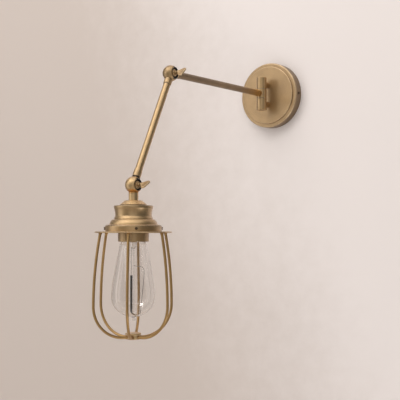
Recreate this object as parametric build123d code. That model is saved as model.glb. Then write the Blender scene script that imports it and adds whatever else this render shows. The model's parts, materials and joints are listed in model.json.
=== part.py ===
from build123d import *
import os
from math import cos, radians, sin

# Swing-arm wall sconce with a wire cage shade, in millimetres.
# Origin: centre of the wall plate, on the wall. +X right, +Y into the wall, +Z up.

# Clearances
seat_gap = 0.02         # a piece pressed, soldered or screwed home
running_gap = 0.06      # a pin in a knuckle that turns on it
thread_gap = 0.10       # a screw in its threaded hole
hole_gap = 0.25         # a screw or tail in a plain hole
slip_gap = 0.25         # a piece that slips into another
least_round = 0.4       # a pressed corner is never sharper than this

# Slots in screw heads
slot_width = 0.8
slot_depth = 0.7

# Wall plate: a pressed dish with a raised disc
plate_radius = 57.5
plate_depth = 17.6      # wall to the shoulder ring
plate_wall = 1.5
plate_round = 2.2
plate_shoulder = 6.5    # width of the ring round the disc
disc_rise = 2.6
disc_round = 1.6

# Strap that is screwed to the wall box and holds the plate
strap_width = 22.0
strap_thickness = 2.0
strap_tab_depth = 14.0
strap_tab_width = 14.0
strap_bend_inside = 0.6
box_screw_spacing = 79.4    # middle of the range that the slots allow
box_slot_length = 14.1
box_slot_width = 4.6
strap_wire_hole_radius = 8.0
side_screw_radius = 1.6
side_screw_length = 9.0
side_screw_head_radius = 2.4
side_screw_head = 1.1
side_screw_round = 0.5
ground_screw_place = 20.0
ground_screw_radius = 1.9
ground_screw_head_radius = 3.9
ground_screw_head = 2.2
ground_screw_round = 0.5

# Swivel: a fixed knuckle above and below the one that swings
swivel_offset = 39.3        # wall to the swing axis
swivel_radius = 8.75
swivel_height = 58.0
swing_knuckle_height = 16.0
swivel_washer_radius = 7.4
swivel_washer_thickness = 0.4
swivel_end_play = 0.2
swivel_cap_thickness = 2.5
swivel_cap_round = 0.9
hinge_pin_radius = 4.0
hinge_pin_bore = 2.3
stub_radius = 5.0
stub_tail_radius = 4.0
stub_tail_length = 9.0
stub_nut_width = 13.0
stub_nut_thickness = 4.0

# Arms: round tube with ferrules
tube_radius = 5.4
tube_wall = 1.0
upper_arm_reach = 254.9     # swing axis to elbow
lower_arm_reach = 194.4     # elbow to shade pivot
lower_arm_lean = 25.9       # degrees from plumb, away from the wall
root_nipple_radius = 3.0
root_nipple_stop = 1.5      # metal between the nipple and the pin's bore
root_boss_radius = 5.5
root_boss_length = 1.6
root_bead_radius = 4.9
root_bead_length = 4.6
root_ring_radius = 6.2
root_ring_thickness = 1.6
root_ring_round = 0.5
root_spigot_length = 12.0
ferrule_radius = 6.2
ferrule_lip = 0.3
short_ferrule_length = 6.3
short_ferrule_taper = 0.9
long_ferrule_length = 12.6
long_ferrule_taper = 5.0
arm_screw_radius = 1.5
arm_screw_inset = 3.5       # back from the end of the elbow's spigot
arm_screw_recess = 0.35

# Pivot balls, split square to their axis, with a thumb screw
ball_radius = 12.4
ball_flat_offset = 8.3
ball_clearance = 0.3        # round a ball, under the neck that turns on it
split_gap = 0.12            # between the halves of a ball
stem_neck = 1.3             # ball to the end of a stem's neck
end_neck_radius = 4.6       # neck that shows as a groove at the lower arm's end
end_ferrule_skirt = 0.7     # how far the end ferrule covers that neck
friction_disc_radius = 8.6
friction_disc_thickness = 0.6
spigot_length = 24.0
spigot_bore = 2.2
washer_pocket_radius = 8.6
washer_pocket_depth = 3.6
thumb_washer_wall = 0.9
thumb_screw_radius = 2.5
thumb_screw_depth = 8.0     # thread beyond the split
thumb_flange_radius = 5.8
thumb_flange_thickness = 2.4
thumb_flange_round = 0.6
thumb_shank_length = 7.6
thumb_shank_radius = 3.1
thumb_waist_radius = 2.4
paddle_root_half = 3.4
paddle_half_width = 10.0
paddle_end_half = 8.6
paddle_flare = 5.0          # root to the widest place
paddle_length = 11.0
paddle_corner = 3.8
paddle_thickness = 3.0
paddle_round = 1.0
elbow_paddle_turn = 47.0    # degrees from plumb, top towards the wall
shade_paddle_turn = 57.0

# Neck, and the spun holder from its crown down to its collar
neck_radius = 7.1
neck_length = 8.8
neck_tail_radius = 5.0
neck_tail_lip = 2.9         # thread beyond the last nut
neck_nut_width = 16.0
neck_nut_thickness = 4.0
dome_top_radius = 12.2
dome_base_radius = 19.7
dome_height = 6.4
dome_round = 2.4
holder_wall = 1.2
crown_lip = 2.0             # crown beyond the waist
crown_fall = 1.0            # how far the crown's top slopes to its edge
crown_band = 3.4            # upright edge of the crown
crown_height = 13.4
crown_bow = 0.4
crown_round = 1.2
socket_room = 2.9           # air between the waist and the socket
waist_height = 2.8
bead_swell = 1.9
bead_height = 4.2
bead_bow = 0.4
bead_groove_width = 0.8
bead_groove_depth = 0.7
flare_step = 1.5            # flare's start beyond the bead
flare_height = 8.0
flare_bow = 0.9
shoulder_width = 6.0
shoulder_fall = 1.1
collar_radius = 41.0
collar_round = 2.4
collar_height = 9.0
holder_screw_count = 4
holder_screw_first = 47.0   # degrees from straight out, towards +X
holder_screw_radius = 1.5
holder_screw_head_radius = 2.1
holder_screw_head = 1.7
holder_screw_round = 0.5
holder_screw_depth = 4.6    # below the collar's top

# Cage
cage_lip_wall = 1.2
cage_ring_overhang = 15.1   # ring beyond the collar
cage_ring_thickness = 2.0
cage_ring_round = 0.6
cage_wire_count = 6
cage_wire_first = 33.6
cage_wire_radius = 2.0
cage_wire_inset = 5.45      # wire's axis in from the ring's edge
cage_swell = 10.1           # wire's axis at its widest, beyond its place at the ring
bulb_room = 17.2            # bulb to hub
hub_flange_radius = 11.6
hub_flange_thickness = 2.6
hub_flange_round = 0.8
hub_radius = 9.8
hub_round = 1.6
hub_wire_level = 6.2        # hub's top to the wires' axis
hub_height = 9.2
hub_wire_depth = 4.0
hub_approach = 4.95         # straight end of a wire outside the hub

# Lamp socket
socket_radius = 22.4
socket_wall = 1.0
socket_round = 1.2
socket_skirt = 7.1          # shell beyond the porcelain body
socket_body_roof = 4.4
screw_shell_gap = 0.3       # round the bulb's cap
screw_shell_wall = 0.5
screw_shell_stop = 5.35     # from the roof of the body
contact_rise = 3.55
contact_width = 6.0
contact_thickness = 0.5
contact_reach = 7.0
contact_bend = 0.6

# Clear pear-shaped bulb: depths are measured from the rim of its cap
bulb_cap_radius = 13.05
bulb_cap_wall = 0.5
bulb_cap_round = 1.6
bulb_cap_length = 22.0
bulb_cap_proud = 1.0        # cap beyond the porcelain body
bulb_insulator_radius = 8.0
bulb_insulator_height = 2.6
bulb_contact_radius = 4.8
bulb_contact_height = 1.2
bulb_contact_round = 0.6
bulb_wall = 0.9
bulb_neck_overlap = 6.0     # glass inside the cap
bulb_neck_round = 5.0
bulb_shoulder_radius = 19.6
bulb_shoulder_depth = 9.0
bulb_shoulder_round = 12.0
bulb_radius = 31.9
bulb_corner_rise = 45.9     # bulb's end to where the cone of the sides would reach the full radius
bulb_side_round = 115.0
bulb_length = 120.4
bulb_tip_radius = 2.2       # flat at the very end
stem_length = 22.0
stem_waist_radius = 4.8
stem_press_radius = 3.8
stem_end_radius = 2.4
stem_rod_radius = 1.2
lead_radius = 0.4
filament_radius = 0.75
filament_plane = 37.0       # degrees from +X of the plane that the filament lies in
filament_left = -2.9
filament_right = 15.6
filament_foot = 10.2        # right leg's place at the bottom bend
filament_rise = 4.4         # bulb's end to the bottom bend
filament_length = 61.0
filament_bend = 6.0
hook_reach = 14.0           # above the filament
hook_rise = 2.0
hook_bend = 3.0

# Worked-out places on the wall side
disc_radius = plate_radius - plate_shoulder
plate_front = plate_depth + disc_rise
plate_inside = plate_front - plate_wall
side_screw_height = plate_depth / 2
strap_bend = strap_bend_inside + strap_thickness
tab_inside = plate_radius - plate_wall
tab_face = (tab_inside ** 2 - (strap_tab_width / 2) ** 2) ** 0.5 - slip_gap
swivel_seam = swivel_washer_thickness + swivel_end_play
swing_half = swing_knuckle_height / 2
knuckle_inner = swing_half + swivel_seam
knuckle_outer = swivel_height / 2 - swivel_cap_thickness
stub_height = (knuckle_inner + knuckle_outer) / 2

# Worked-out places along the arms
tube_inside = tube_radius - tube_wall
spigot_radius = tube_inside - seat_gap
half_gap = split_gap / 2
disc_pocket = friction_disc_thickness - split_gap
stem_start = ball_radius + stem_neck
spigot_end = stem_start + spigot_length
arm_screw_place = upper_arm_reach - spigot_end + arm_screw_inset
root_nipple_start = hinge_pin_radius + running_gap + root_nipple_stop
root_boss_end = swivel_radius + root_boss_length
root_ring_start = root_boss_end + root_bead_length
root_ring_end = root_ring_start + root_ring_thickness
washer_floor = ball_flat_offset - washer_pocket_depth
washer_end = washer_floor + thumb_washer_wall
flange_end = washer_end + thumb_flange_thickness
paddle_start = flange_end + thumb_shank_length
paddle_widest = paddle_start + paddle_flare
paddle_end = paddle_start + paddle_length

# Worked-out radii and drops of the shade. A drop is measured below the shade's pivot.
waist_radius = socket_radius + socket_room + holder_wall
crown_radius = waist_radius + crown_lip
bead_radius = waist_radius + bead_swell
flare_radius = collar_radius - shoulder_width
flare_start_radius = bead_radius + flare_step
neck_end = stem_start + neck_length
crown_drop = neck_end + dome_height
waist_top = crown_drop + crown_height
waist_end = waist_top + waist_height
bead_drop = waist_end + bead_height
flare_drop = bead_drop + flare_height
collar_drop = flare_drop + shoulder_fall
collar_end = collar_drop + collar_height
holder_screw_drop = collar_drop + holder_screw_depth
first_nut_drop = crown_drop + holder_wall
socket_top = first_nut_drop + neck_nut_thickness
second_nut_drop = socket_top + socket_wall
neck_tail_end = second_nut_drop + neck_nut_thickness + neck_tail_lip
socket_body_top = neck_tail_end + slip_gap
socket_roof = socket_body_top + socket_body_roof
contact_drop = socket_roof + contact_rise
insulator_drop = contact_drop + bulb_contact_height
bulb_cap_top = insulator_drop + bulb_insulator_height
bulb_cap_end = bulb_cap_top + bulb_cap_length
socket_body_end = bulb_cap_end - bulb_cap_proud
socket_end = socket_body_end + socket_skirt
screw_shell_radius = bulb_cap_radius + screw_shell_gap
screw_shell_outside = screw_shell_radius + screw_shell_wall
bulb_neck_radius = bulb_cap_radius - bulb_cap_wall - seat_gap
bulb_neck_top = bulb_cap_end - bulb_neck_overlap
bulb_end = bulb_cap_end + bulb_length
stem_end = bulb_neck_top + stem_length
filament_end = bulb_end - filament_rise
filament_top = filament_end - filament_length
hook_drop = filament_top - hook_reach
lip_radius = collar_radius - holder_wall - slip_gap
lip_inside = lip_radius - cage_lip_wall
lip_top = collar_drop + holder_wall + collar_round
ring_top = collar_end + seat_gap
ring_under = ring_top + cage_ring_thickness
cage_ring_radius = collar_radius + cage_ring_overhang
cage_top_radius = cage_ring_radius - cage_wire_inset
cage_wide_radius = cage_top_radius + cage_swell
cage_bend = cage_wide_radius - hub_radius - hub_approach
hub_top = bulb_end + bulb_room
cage_wire_drop = hub_top + hub_wire_level
cage_wide_drop = cage_wire_drop - cage_bend
hub_end = hub_top + hub_height

elbow = Vector(0, -(swivel_offset + upper_arm_reach), 0)
down_arm = Vector(0, -sin(radians(lower_arm_lean)), -cos(radians(lower_arm_lean)))
shade_pivot = elbow + down_arm * lower_arm_reach

# Local frames. +Z runs away from the wall, up the swing axis, along each stem, or down the shade.
ACROSS = (1, 0, 0)
wall_frame = Plane.XZ
swivel_frame = Plane((0, -swivel_offset, 0))
root_frame = Plane((0, -swivel_offset, 0), x_dir=ACROSS, z_dir=(0, -1, 0))
upper_stem = Plane(elbow, x_dir=ACROSS, z_dir=(0, 1, 0))
lower_stem_top = Plane(elbow, x_dir=ACROSS, z_dir=down_arm)
lower_stem_end = Plane(shade_pivot, x_dir=ACROSS, z_dir=-down_arm)
shade_frame = Plane(shade_pivot, x_dir=ACROSS, z_dir=(0, 0, -1))

TO_RIGHT = Rot(0, 90, 0)    # lays a bar that is made along +Z along +X
BOTTOM = (Align.CENTER, Align.CENTER, Align.MIN)
BEYOND = 1.0                # how far a cutting tool runs past a face
WHOLE = 500.0               # larger than the object


def rod(radius, start, end):
    """Round bar along +Z between two heights."""
    return Pos(0, 0, start) * Cylinder(radius, end - start, align=BOTTOM)


def tube(outer, inner, start, end):
    """Round tube along +Z between two heights."""
    return rod(outer, start, end) - rod(inner, start - BEYOND, end + BEYOND)


def round_corner(face, place, radius):
    """The face with its corner nearest to a place rounded."""
    across, along = place
    nearest = min(face.vertices(), key=lambda v: (v.X - across) ** 2 + (v.Y - along) ** 2)
    return fillet(nearest, radius)


def outline(points, rounds=()):
    """Flat face through (radius, height) points, with (corner number, radius) pairs rounded."""
    face = make_face(Polyline(*points, close=True))
    for corner, radius in rounds:
        face = round_corner(face, points[corner], radius)
    return face


def inner_round(radius, inset):
    """Radius of an outer corner's round on the inside of a wall."""
    return max(radius - inset, least_round)


def turned(points, rounds=()):
    """Solid of revolution about +Z."""
    return revolve(Plane.XZ * outline(points, rounds), Axis.Z)


def hex_nut(width, bore, start, thickness):
    """Hexagon nut along +Z."""
    body = extrude(RegularPolygon(width / 2, 6, major_radius=False), thickness)
    return Pos(0, 0, start) * body - rod(bore, start - BEYOND, start + thickness + BEYOND)


def slotted_screw(radius, start, seat, head_radius, head, head_round):
    """Screw along +Z from its tip at start, with a slotted head that rests at seat."""
    top = seat + head
    screw = turned([
        (0, start), (radius, start), (radius, seat), (head_radius, seat), (head_radius, top), (0, top),
    ], [(4, head_round)])
    return screw - Pos(0, 0, top) * Box(slot_width, 2 * head_radius + BEYOND, 2 * slot_depth)


def around(solid, count, first):
    """Copies of a solid made along +X, about +Z. The first angle runs from local +Y towards +X."""
    return [Rot(0, 0, 90 - first - 360 / count * number) * solid for number in range(count)]


def at_side(x, height, solid):
    """A solid made along +Z, laid along +X with its origin at x and a height."""
    return Pos(x, 0, height) * TO_RIGHT * solid


def below(solid):
    """The same piece below the arm."""
    return mirror(solid, about=Plane.XY)


# Wall plate and what is behind it

def dish(inset):
    """Outer form of the wall plate, or the hollow inside it when inset by the wall."""
    top = plate_front - inset
    shoulder = plate_depth - inset
    points = [
        (0, -inset), (plate_radius - inset, -inset), (plate_radius - inset, shoulder),
        (disc_radius - inset, shoulder), (disc_radius - inset, top), (0, top),
    ]
    return turned(points, [(2, inner_round(plate_round, inset)), (4, inner_round(disc_round, inset))])


def wall_plate():
    plate = dish(0) - dish(plate_wall)
    for height in (-stub_height, stub_height):
        plate -= Pos(0, height, 0) * rod(stub_tail_radius + hole_gap, 0, plate_front + BEYOND)
    for side in (-1, 1):
        hole = rod(side_screw_radius + hole_gap, -2 * plate_wall, 2 * plate_wall)
        plate -= at_side(side * plate_radius, side_screw_height, hole)
    return wall_frame * plate


def wall_strap():
    """Flat bar with two slots and a bent tab at each end."""
    tab_back = tab_face - strap_thickness
    section = outline([
        (-tab_face, 0), (tab_face, 0), (tab_face, strap_tab_depth), (tab_back, strap_tab_depth),
        (tab_back, strap_thickness), (-tab_back, strap_thickness),
        (-tab_back, strap_tab_depth), (-tab_face, strap_tab_depth),
    ], [(0, strap_bend), (1, strap_bend), (4, strap_bend_inside), (5, strap_bend_inside)])
    strap = extrude(Plane.XZ * section, strap_width / 2, both=True)
    trim = (strap_width - strap_tab_width) / 2
    corner = Box(2 * strap_bend + strap_thickness, trim, 2 * strap_tab_depth)
    slot = extrude(SlotOverall(box_slot_length, box_slot_width), 2 * strap_thickness, both=True)
    tapped = rod(side_screw_radius + thread_gap, -strap_bend - strap_thickness, strap_thickness)
    for side in (-1, 1):
        for edge in (-1, 1):
            strap -= Pos(side * tab_face, edge * (strap_width - trim) / 2, 0) * corner
        strap -= Pos(side * box_screw_spacing / 2, 0, 0) * slot
        strap -= at_side(side * tab_face, side_screw_height, tapped)
    strap -= rod(strap_wire_hole_radius, -BEYOND, strap_thickness + BEYOND)
    strap -= Pos(-ground_screw_place, 0, 0) * rod(ground_screw_radius + thread_gap, -BEYOND, strap_tab_depth)
    return wall_frame * strap


def side_screws():
    """Two screws through the plate's rim into the strap's tabs."""
    screw = slotted_screw(
        side_screw_radius, plate_radius - side_screw_length, plate_radius,
        side_screw_head_radius, side_screw_head, side_screw_round)
    right = at_side(0, side_screw_height, screw)
    return [wall_frame * right, wall_frame * mirror(right, about=Plane.YZ)]


def ground_screw():
    screw = slotted_screw(
        ground_screw_radius, 0, strap_thickness,
        ground_screw_head_radius, ground_screw_head, ground_screw_round)
    return wall_frame * Pos(-ground_screw_place, 0, 0) * screw


# Swivel on the wall plate

def upper_knuckle():
    barrel = swivel_frame * rod(swivel_radius, knuckle_inner, knuckle_outer)
    stub = rod(stub_radius, plate_front, swivel_offset)
    tail = rod(stub_tail_radius, plate_front - stub_tail_length, plate_front)
    knuckle = barrel + wall_frame * Pos(0, stub_height, 0) * (stub + tail)
    return knuckle - swivel_frame * rod(hinge_pin_radius + seat_gap, 0, swivel_height)


def stub_nuts():
    start = plate_inside - stub_nut_thickness
    nut = hex_nut(stub_nut_width, stub_tail_radius + thread_gap, start, stub_nut_thickness)
    upper = wall_frame * Pos(0, stub_height, 0) * nut
    return [upper, below(upper)]


def hinge_pin():
    return swivel_frame * tube(hinge_pin_radius, hinge_pin_bore, -knuckle_outer, knuckle_outer)


def swivel_washers():
    start = knuckle_inner - swivel_washer_thickness
    upper = swivel_frame * tube(swivel_washer_radius, hinge_pin_radius + running_gap, start, knuckle_inner)
    return [upper, below(upper)]


def swivel_caps():
    end = swivel_height / 2
    upper = swivel_frame * turned([
        (0, knuckle_outer), (swivel_radius, knuckle_outer), (swivel_radius, end), (0, end),
    ], [(2, swivel_cap_round)])
    return [upper, below(upper)]


def swing_knuckle():
    body = tube(swivel_radius, hinge_pin_radius + running_gap, -swing_half, swing_half)
    nipple_hole = rod(root_nipple_radius + seat_gap, 0, swivel_radius + BEYOND)
    return swivel_frame * body - root_frame * nipple_hole


# Upper arm

def arm_root():
    """Boss, bead and ring where the upper arm is screwed into the swing knuckle."""
    boss = rod(root_boss_radius, 0, root_boss_end)
    bead = Pos(0, 0, root_boss_end + root_bead_length / 2) * Sphere(root_bead_radius)
    bead &= rod(root_ring_radius, 0, root_ring_end)
    ring = turned([
        (0, root_ring_start), (root_ring_radius, root_ring_start),
        (root_ring_radius, root_ring_end), (0, root_ring_end),
    ], [(1, root_ring_round), (2, root_ring_round)])
    spigot = rod(spigot_radius, root_ring_end, root_ring_end + root_spigot_length)
    fitting = root_frame * (boss + bead + ring + spigot)
    fitting -= swivel_frame * rod(swivel_radius, -WHOLE, WHOLE)
    return fitting + root_frame * rod(root_nipple_radius, root_nipple_start, root_boss_end)


def upper_arm_tube():
    bar = tube(tube_radius, tube_inside, root_ring_end, upper_arm_reach - stem_start)
    hole = at_side(0, arm_screw_place, rod(arm_screw_radius + thread_gap, 0, WHOLE))
    return root_frame * (bar - hole)


def arm_set_screw():
    """Headless screw that fixes the upper arm's tube on the elbow's spigot."""
    end = tube_radius - arm_screw_recess
    screw = rod(arm_screw_radius, spigot_radius, end)
    screw -= Pos(0, 0, end) * Box(WHOLE, slot_width, arm_screw_recess)
    return root_frame * at_side(0, arm_screw_place, screw)


def ferrule(length, taper, skirt=0):
    """Sleeve on a tube's end, from the stem's start along +Z, with a skirt over the neck."""
    inner = tube_radius + seat_gap
    start = stem_start - skirt
    end = stem_start + length
    return turned([
        (inner, start), (ferrule_radius, start), (ferrule_radius, end - taper),
        (tube_radius + ferrule_lip, end), (inner, end),
    ])


def lower_arm_tube():
    return lower_stem_top * tube(tube_radius, tube_inside, stem_start, lower_arm_reach - stem_start)


# Pivot balls

def half_space(side):
    """Block that holds everything on one side of a ball's split."""
    return Pos(side * (half_gap + WHOLE / 2), 0, 0) * Box(WHOLE, WHOLE, WHOLE)


def ball_half(side, stem_radius, end):
    """Half of a pivot ball, with the neck and the spigot of its own stem along +Z.

    The neck is hollowed to turn on the other half. The +X half has a flat with a pocket for the
    thumb screw's washer; the -X half takes its thread and has a pocket for the friction disc.
    """
    neck = rod(stem_radius, 0, stem_start)
    half = (Sphere(ball_radius) + neck) & half_space(side)
    half += neck - Sphere(ball_radius + ball_clearance)
    half += rod(spigot_radius, stem_start, end)
    half -= rod(spigot_bore, ball_radius, end + BEYOND)
    if side > 0:
        half -= Pos(ball_flat_offset + WHOLE / 2, 0, 0) * Box(WHOLE, 2 * ball_radius, 2 * ball_radius)
        half -= at_side(0, 0, rod(washer_pocket_radius, washer_floor, ball_radius))
        half -= at_side(0, 0, rod(thumb_screw_radius + hole_gap, -BEYOND, ball_radius))
    else:
        depth = half_gap + thumb_screw_depth + hole_gap
        half -= at_side(0, 0, rod(thumb_screw_radius + thread_gap, -depth, 0))
        half -= at_side(0, 0, rod(friction_disc_radius + slip_gap, -half_gap - disc_pocket, 0))
    return half


def friction_disc(pivot):
    """Fibre disc in its pocket, flush with the face of the other half."""
    disc = tube(friction_disc_radius, thumb_screw_radius + hole_gap, -half_gap - disc_pocket, half_gap)
    return Pos(pivot) * TO_RIGHT * disc


def thumb_washer(pivot):
    """Black cup washer that lines the pocket under the thumb screw's flange."""
    outside = washer_pocket_radius - seat_gap
    cup = tube(outside, thumb_screw_radius + hole_gap, washer_floor, ball_flat_offset)
    cup -= rod(outside - thumb_washer_wall, washer_end, ball_flat_offset + BEYOND)
    return Pos(pivot) * TO_RIGHT * cup


def thumb_screw(pivot, paddle_turn):
    """Screw with a round flange, a waisted shank and a paddle like a fan."""
    thread_end = -half_gap - thumb_screw_depth
    turned_part = turned([
        (0, thread_end), (thumb_screw_radius, thread_end), (thumb_screw_radius, washer_end),
        (thumb_flange_radius, washer_end), (thumb_flange_radius, flange_end),
        (thumb_shank_radius, flange_end), (thumb_waist_radius, paddle_start),
        (paddle_thickness / 2, paddle_widest), (0, paddle_widest),
    ], [(4, thumb_flange_round)])
    fan = outline([
        (-paddle_root_half, paddle_start), (paddle_root_half, paddle_start),
        (paddle_half_width, paddle_widest), (paddle_end_half, paddle_end),
        (-paddle_end_half, paddle_end), (-paddle_half_width, paddle_widest),
    ], [(corner, paddle_corner) for corner in range(2, 6)])
    paddle = extrude(Plane.XZ * fan, paddle_thickness / 2, both=True)
    faces = paddle.faces().sort_by(Axis.Y)
    paddle = fillet(faces[0].edges() + faces[-1].edges(), paddle_round)
    turn = radians(paddle_turn)
    frame = Plane(pivot, x_dir=(0, sin(turn), cos(turn)), z_dir=ACROSS)
    return frame * (turned_part + paddle)


# Neck and shade holder

def neck():
    stem = rod(neck_radius, stem_start, neck_end) + rod(neck_tail_radius, neck_end, neck_tail_end)
    bore = rod(spigot_radius + seat_gap, 0, neck_tail_end + BEYOND)
    return shade_frame * (stem - bore)


def neck_nuts():
    """Nuts that clamp the holder's crown, and the socket, on the neck's tail."""
    bore = neck_tail_radius + thread_gap
    drops = (first_nut_drop, second_nut_drop)
    return [shade_frame * hex_nut(neck_nut_width, bore, drop, neck_nut_thickness) for drop in drops]


def holder_dome():
    bore = neck_tail_radius + hole_gap
    return shade_frame * turned([
        (bore, neck_end), (dome_top_radius, neck_end), (dome_base_radius, crown_drop), (bore, crown_drop),
    ], [(1, dome_round)])


def holder_form(inset):
    """Outer form of the spun holder, or the hollow inside it when inset by the wall."""
    def at(radius, drop):
        return (radius - inset, drop + inset)

    open_end = collar_end + (BEYOND if inset else 0)
    centre = (0, crown_drop + inset)
    crown_seat = at(dome_base_radius, crown_drop)
    crown_edge = at(crown_radius, crown_drop + crown_fall)
    crown_under = at(crown_radius, crown_drop + crown_fall + crown_band)
    waist_start = at(waist_radius, waist_top)
    waist_stop = at(waist_radius, waist_end)
    bead = at(bead_radius, bead_drop)
    flare_start = at(flare_start_radius, bead_drop)
    flare = at(flare_radius, flare_drop)
    collar = at(collar_radius, collar_drop)
    rim = (collar_radius - inset, open_end)
    side = Line(centre, crown_seat) + Line(crown_seat, crown_edge) + Line(crown_edge, crown_under)
    side += SagittaArc(crown_under, waist_start, crown_bow)
    side += Line(waist_start, waist_stop)
    side += SagittaArc(waist_stop, bead, bead_bow) + Line(bead, flare_start)
    side += SagittaArc(flare_start, flare, -flare_bow)
    side += Line(flare, collar) + Line(collar, rim) + Line(rim, (0, open_end)) + Line((0, open_end), centre)
    face = round_corner(make_face(side), collar, inner_round(collar_round, inset))
    face = round_corner(face, crown_edge, inner_round(crown_round, inset))
    return revolve(Plane.XZ * face, Axis.Z)


def shade_holder():
    holder = holder_form(0) - holder_form(holder_wall)
    groove_end = bead_drop + bead_groove_width
    holder -= tube(collar_radius, bead_radius - bead_groove_depth, bead_drop, groove_end)
    holder -= rod(neck_tail_radius + hole_gap, 0, collar_end)
    hole = at_side(0, holder_screw_drop, rod(holder_screw_radius + thread_gap, waist_radius, WHOLE))
    for cut in around(hole, holder_screw_count, holder_screw_first):
        holder -= cut
    return shade_frame * holder


def holder_screws():
    """Screws through the holder's collar that press on the cage's lip."""
    screw = at_side(0, holder_screw_drop, slotted_screw(
        holder_screw_radius, lip_radius, collar_radius,
        holder_screw_head_radius, holder_screw_head, holder_screw_round))
    return [shade_frame * copy for copy in around(screw, holder_screw_count, holder_screw_first)]


# Cage

def cage_ring():
    """Flat ring with a lip that slips into the holder's collar."""
    return shade_frame * turned([
        (lip_inside, lip_top), (lip_radius, lip_top), (lip_radius, ring_top), (cage_ring_radius, ring_top),
        (cage_ring_radius, ring_under), (lip_inside, ring_under),
    ], [(3, cage_ring_round), (4, cage_ring_round)])


def cage_wire():
    """One bent wire in the radius-drop plane: a long bow, a quarter turn and a straight end in the hub."""
    fall = cage_wide_drop - ring_under
    bow = (fall ** 2 + cage_swell ** 2) / (2 * cage_swell)

    def on_bow(rise):
        return (cage_wide_radius - bow + (bow ** 2 - rise ** 2) ** 0.5, cage_wide_drop - rise)

    start_rise = fall + 2 * cage_wire_radius
    widest = (cage_wide_radius, cage_wide_drop)
    hub_side = (hub_radius + hub_approach, cage_wire_drop)
    halfway = radians(45)
    corner = (hub_side[0] + cage_bend * cos(halfway), cage_wide_drop + cage_bend * sin(halfway))
    path = ThreePointArc(on_bow(start_rise), on_bow(start_rise / 2), widest)
    path += ThreePointArc(widest, corner, hub_side)
    path += Line(hub_side, (hub_radius - hub_wire_depth, cage_wire_drop))
    path = Plane.XZ * path
    wire = sweep(Plane(path @ 0, z_dir=path % 0) * Circle(cage_wire_radius), path)
    return wire - Pos(0, 0, ring_under - WHOLE / 2) * Box(WHOLE, WHOLE, WHOLE)


def cage_wires():
    return [shade_frame * wire for wire in around(cage_wire(), cage_wire_count, cage_wire_first)]


def cage_hub():
    """Button with a wider flange on top and a socket for each wire."""
    flange_under = hub_top + hub_flange_thickness
    hub = turned([
        (0, hub_top), (hub_flange_radius, hub_top), (hub_flange_radius, flange_under),
        (hub_radius, flange_under), (hub_radius, hub_end), (0, hub_end),
    ], [(1, hub_flange_round), (2, hub_flange_round), (4, hub_round)])
    hole = at_side(0, cage_wire_drop, rod(cage_wire_radius + seat_gap, hub_radius - hub_wire_depth, WHOLE))
    for cut in around(hole, cage_wire_count, cage_wire_first):
        hub -= cut
    return shade_frame * hub


# Lamp socket

def socket_shell():
    cup = turned([
        (0, socket_top), (socket_radius, socket_top), (socket_radius, socket_end), (0, socket_end),
    ], [(1, socket_round)])
    cup -= rod(socket_radius - socket_wall, socket_top + socket_wall, socket_end + BEYOND)
    return shade_frame * (cup - rod(neck_tail_radius + hole_gap, 0, socket_end))


def socket_body():
    """Porcelain body with the bore for the screw shell."""
    body = rod(socket_radius - socket_wall - slip_gap, socket_body_top, socket_body_end)
    return shade_frame * (body - rod(screw_shell_outside + seat_gap, socket_roof, socket_body_end + BEYOND))


def socket_screw_shell():
    start = socket_roof + screw_shell_stop
    return shade_frame * tube(screw_shell_outside, screw_shell_radius, start, socket_body_end)


def socket_contact():
    """Bent tongue from the roof of the socket body to the bulb's centre contact."""
    upper = socket_roof + contact_thickness / 2
    lower = contact_drop - contact_thickness / 2
    points = [(-contact_reach, upper), (0, upper), (contact_reach, lower), (0, lower)]
    path = Plane.XZ * FilletPolyline(*points, radius=contact_bend)
    start = Plane(path @ 0, x_dir=(0, 1, 0), z_dir=path % 0)
    return shade_frame * sweep(start * Rectangle(contact_width, contact_thickness), path)


# Bulb

def bulb_cap():
    cap = turned([
        (0, bulb_cap_top), (bulb_cap_radius, bulb_cap_top),
        (bulb_cap_radius, bulb_cap_end), (0, bulb_cap_end),
    ], [(1, bulb_cap_round)])
    return shade_frame * (cap - rod(bulb_cap_radius - bulb_cap_wall, bulb_cap_top + bulb_cap_wall, bulb_end))


def bulb_insulator():
    return shade_frame * turned([
        (0, insulator_drop), (bulb_contact_radius, insulator_drop),
        (bulb_insulator_radius, bulb_cap_top), (0, bulb_cap_top),
    ])


def bulb_contact():
    return shade_frame * turned([
        (0, contact_drop), (bulb_contact_radius, contact_drop),
        (bulb_contact_radius, insulator_drop), (0, insulator_drop),
    ], [(1, bulb_contact_round)])


def bulb_form(inset):
    """Outer form of the glass, or the space inside it when inset by its wall.

    The neck's curve is centred far enough below the cap's rim to start outside it.
    """
    top = bulb_neck_top - (BEYOND if inset else 0)
    neck = bulb_neck_radius - inset
    side = bulb_radius - inset
    end = bulb_end - inset
    points = [
        (0, top), (neck, top), (neck, bulb_cap_end + bulb_neck_round / 2),
        (bulb_shoulder_radius - inset, bulb_cap_end + bulb_shoulder_depth),
        (side, bulb_end - bulb_corner_rise), (side, end), (0, end),
    ]
    return turned(points, [
        (2, bulb_neck_round + inset), (3, bulb_shoulder_round - inset),
        (4, bulb_side_round - inset), (5, side - bulb_tip_radius),
    ])


def bulb_glass():
    return shade_frame * (bulb_form(0) - bulb_form(bulb_wall))


def bulb_stem():
    """Glass flare sealed in the neck, its pressed end and the rod that reaches the filament's bend."""
    flare = bulb_neck_radius - bulb_wall - seat_gap
    rod_end = filament_end - filament_bend
    return shade_frame * turned([
        (0, bulb_neck_top), (flare, bulb_neck_top), (flare, bulb_neck_top + bulb_wall),
        (stem_waist_radius, bulb_cap_end), (stem_press_radius, stem_end - stem_end_radius),
        (stem_end_radius, stem_end), (stem_rod_radius, stem_end), (stem_rod_radius, rod_end), (0, rod_end),
    ])


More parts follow.
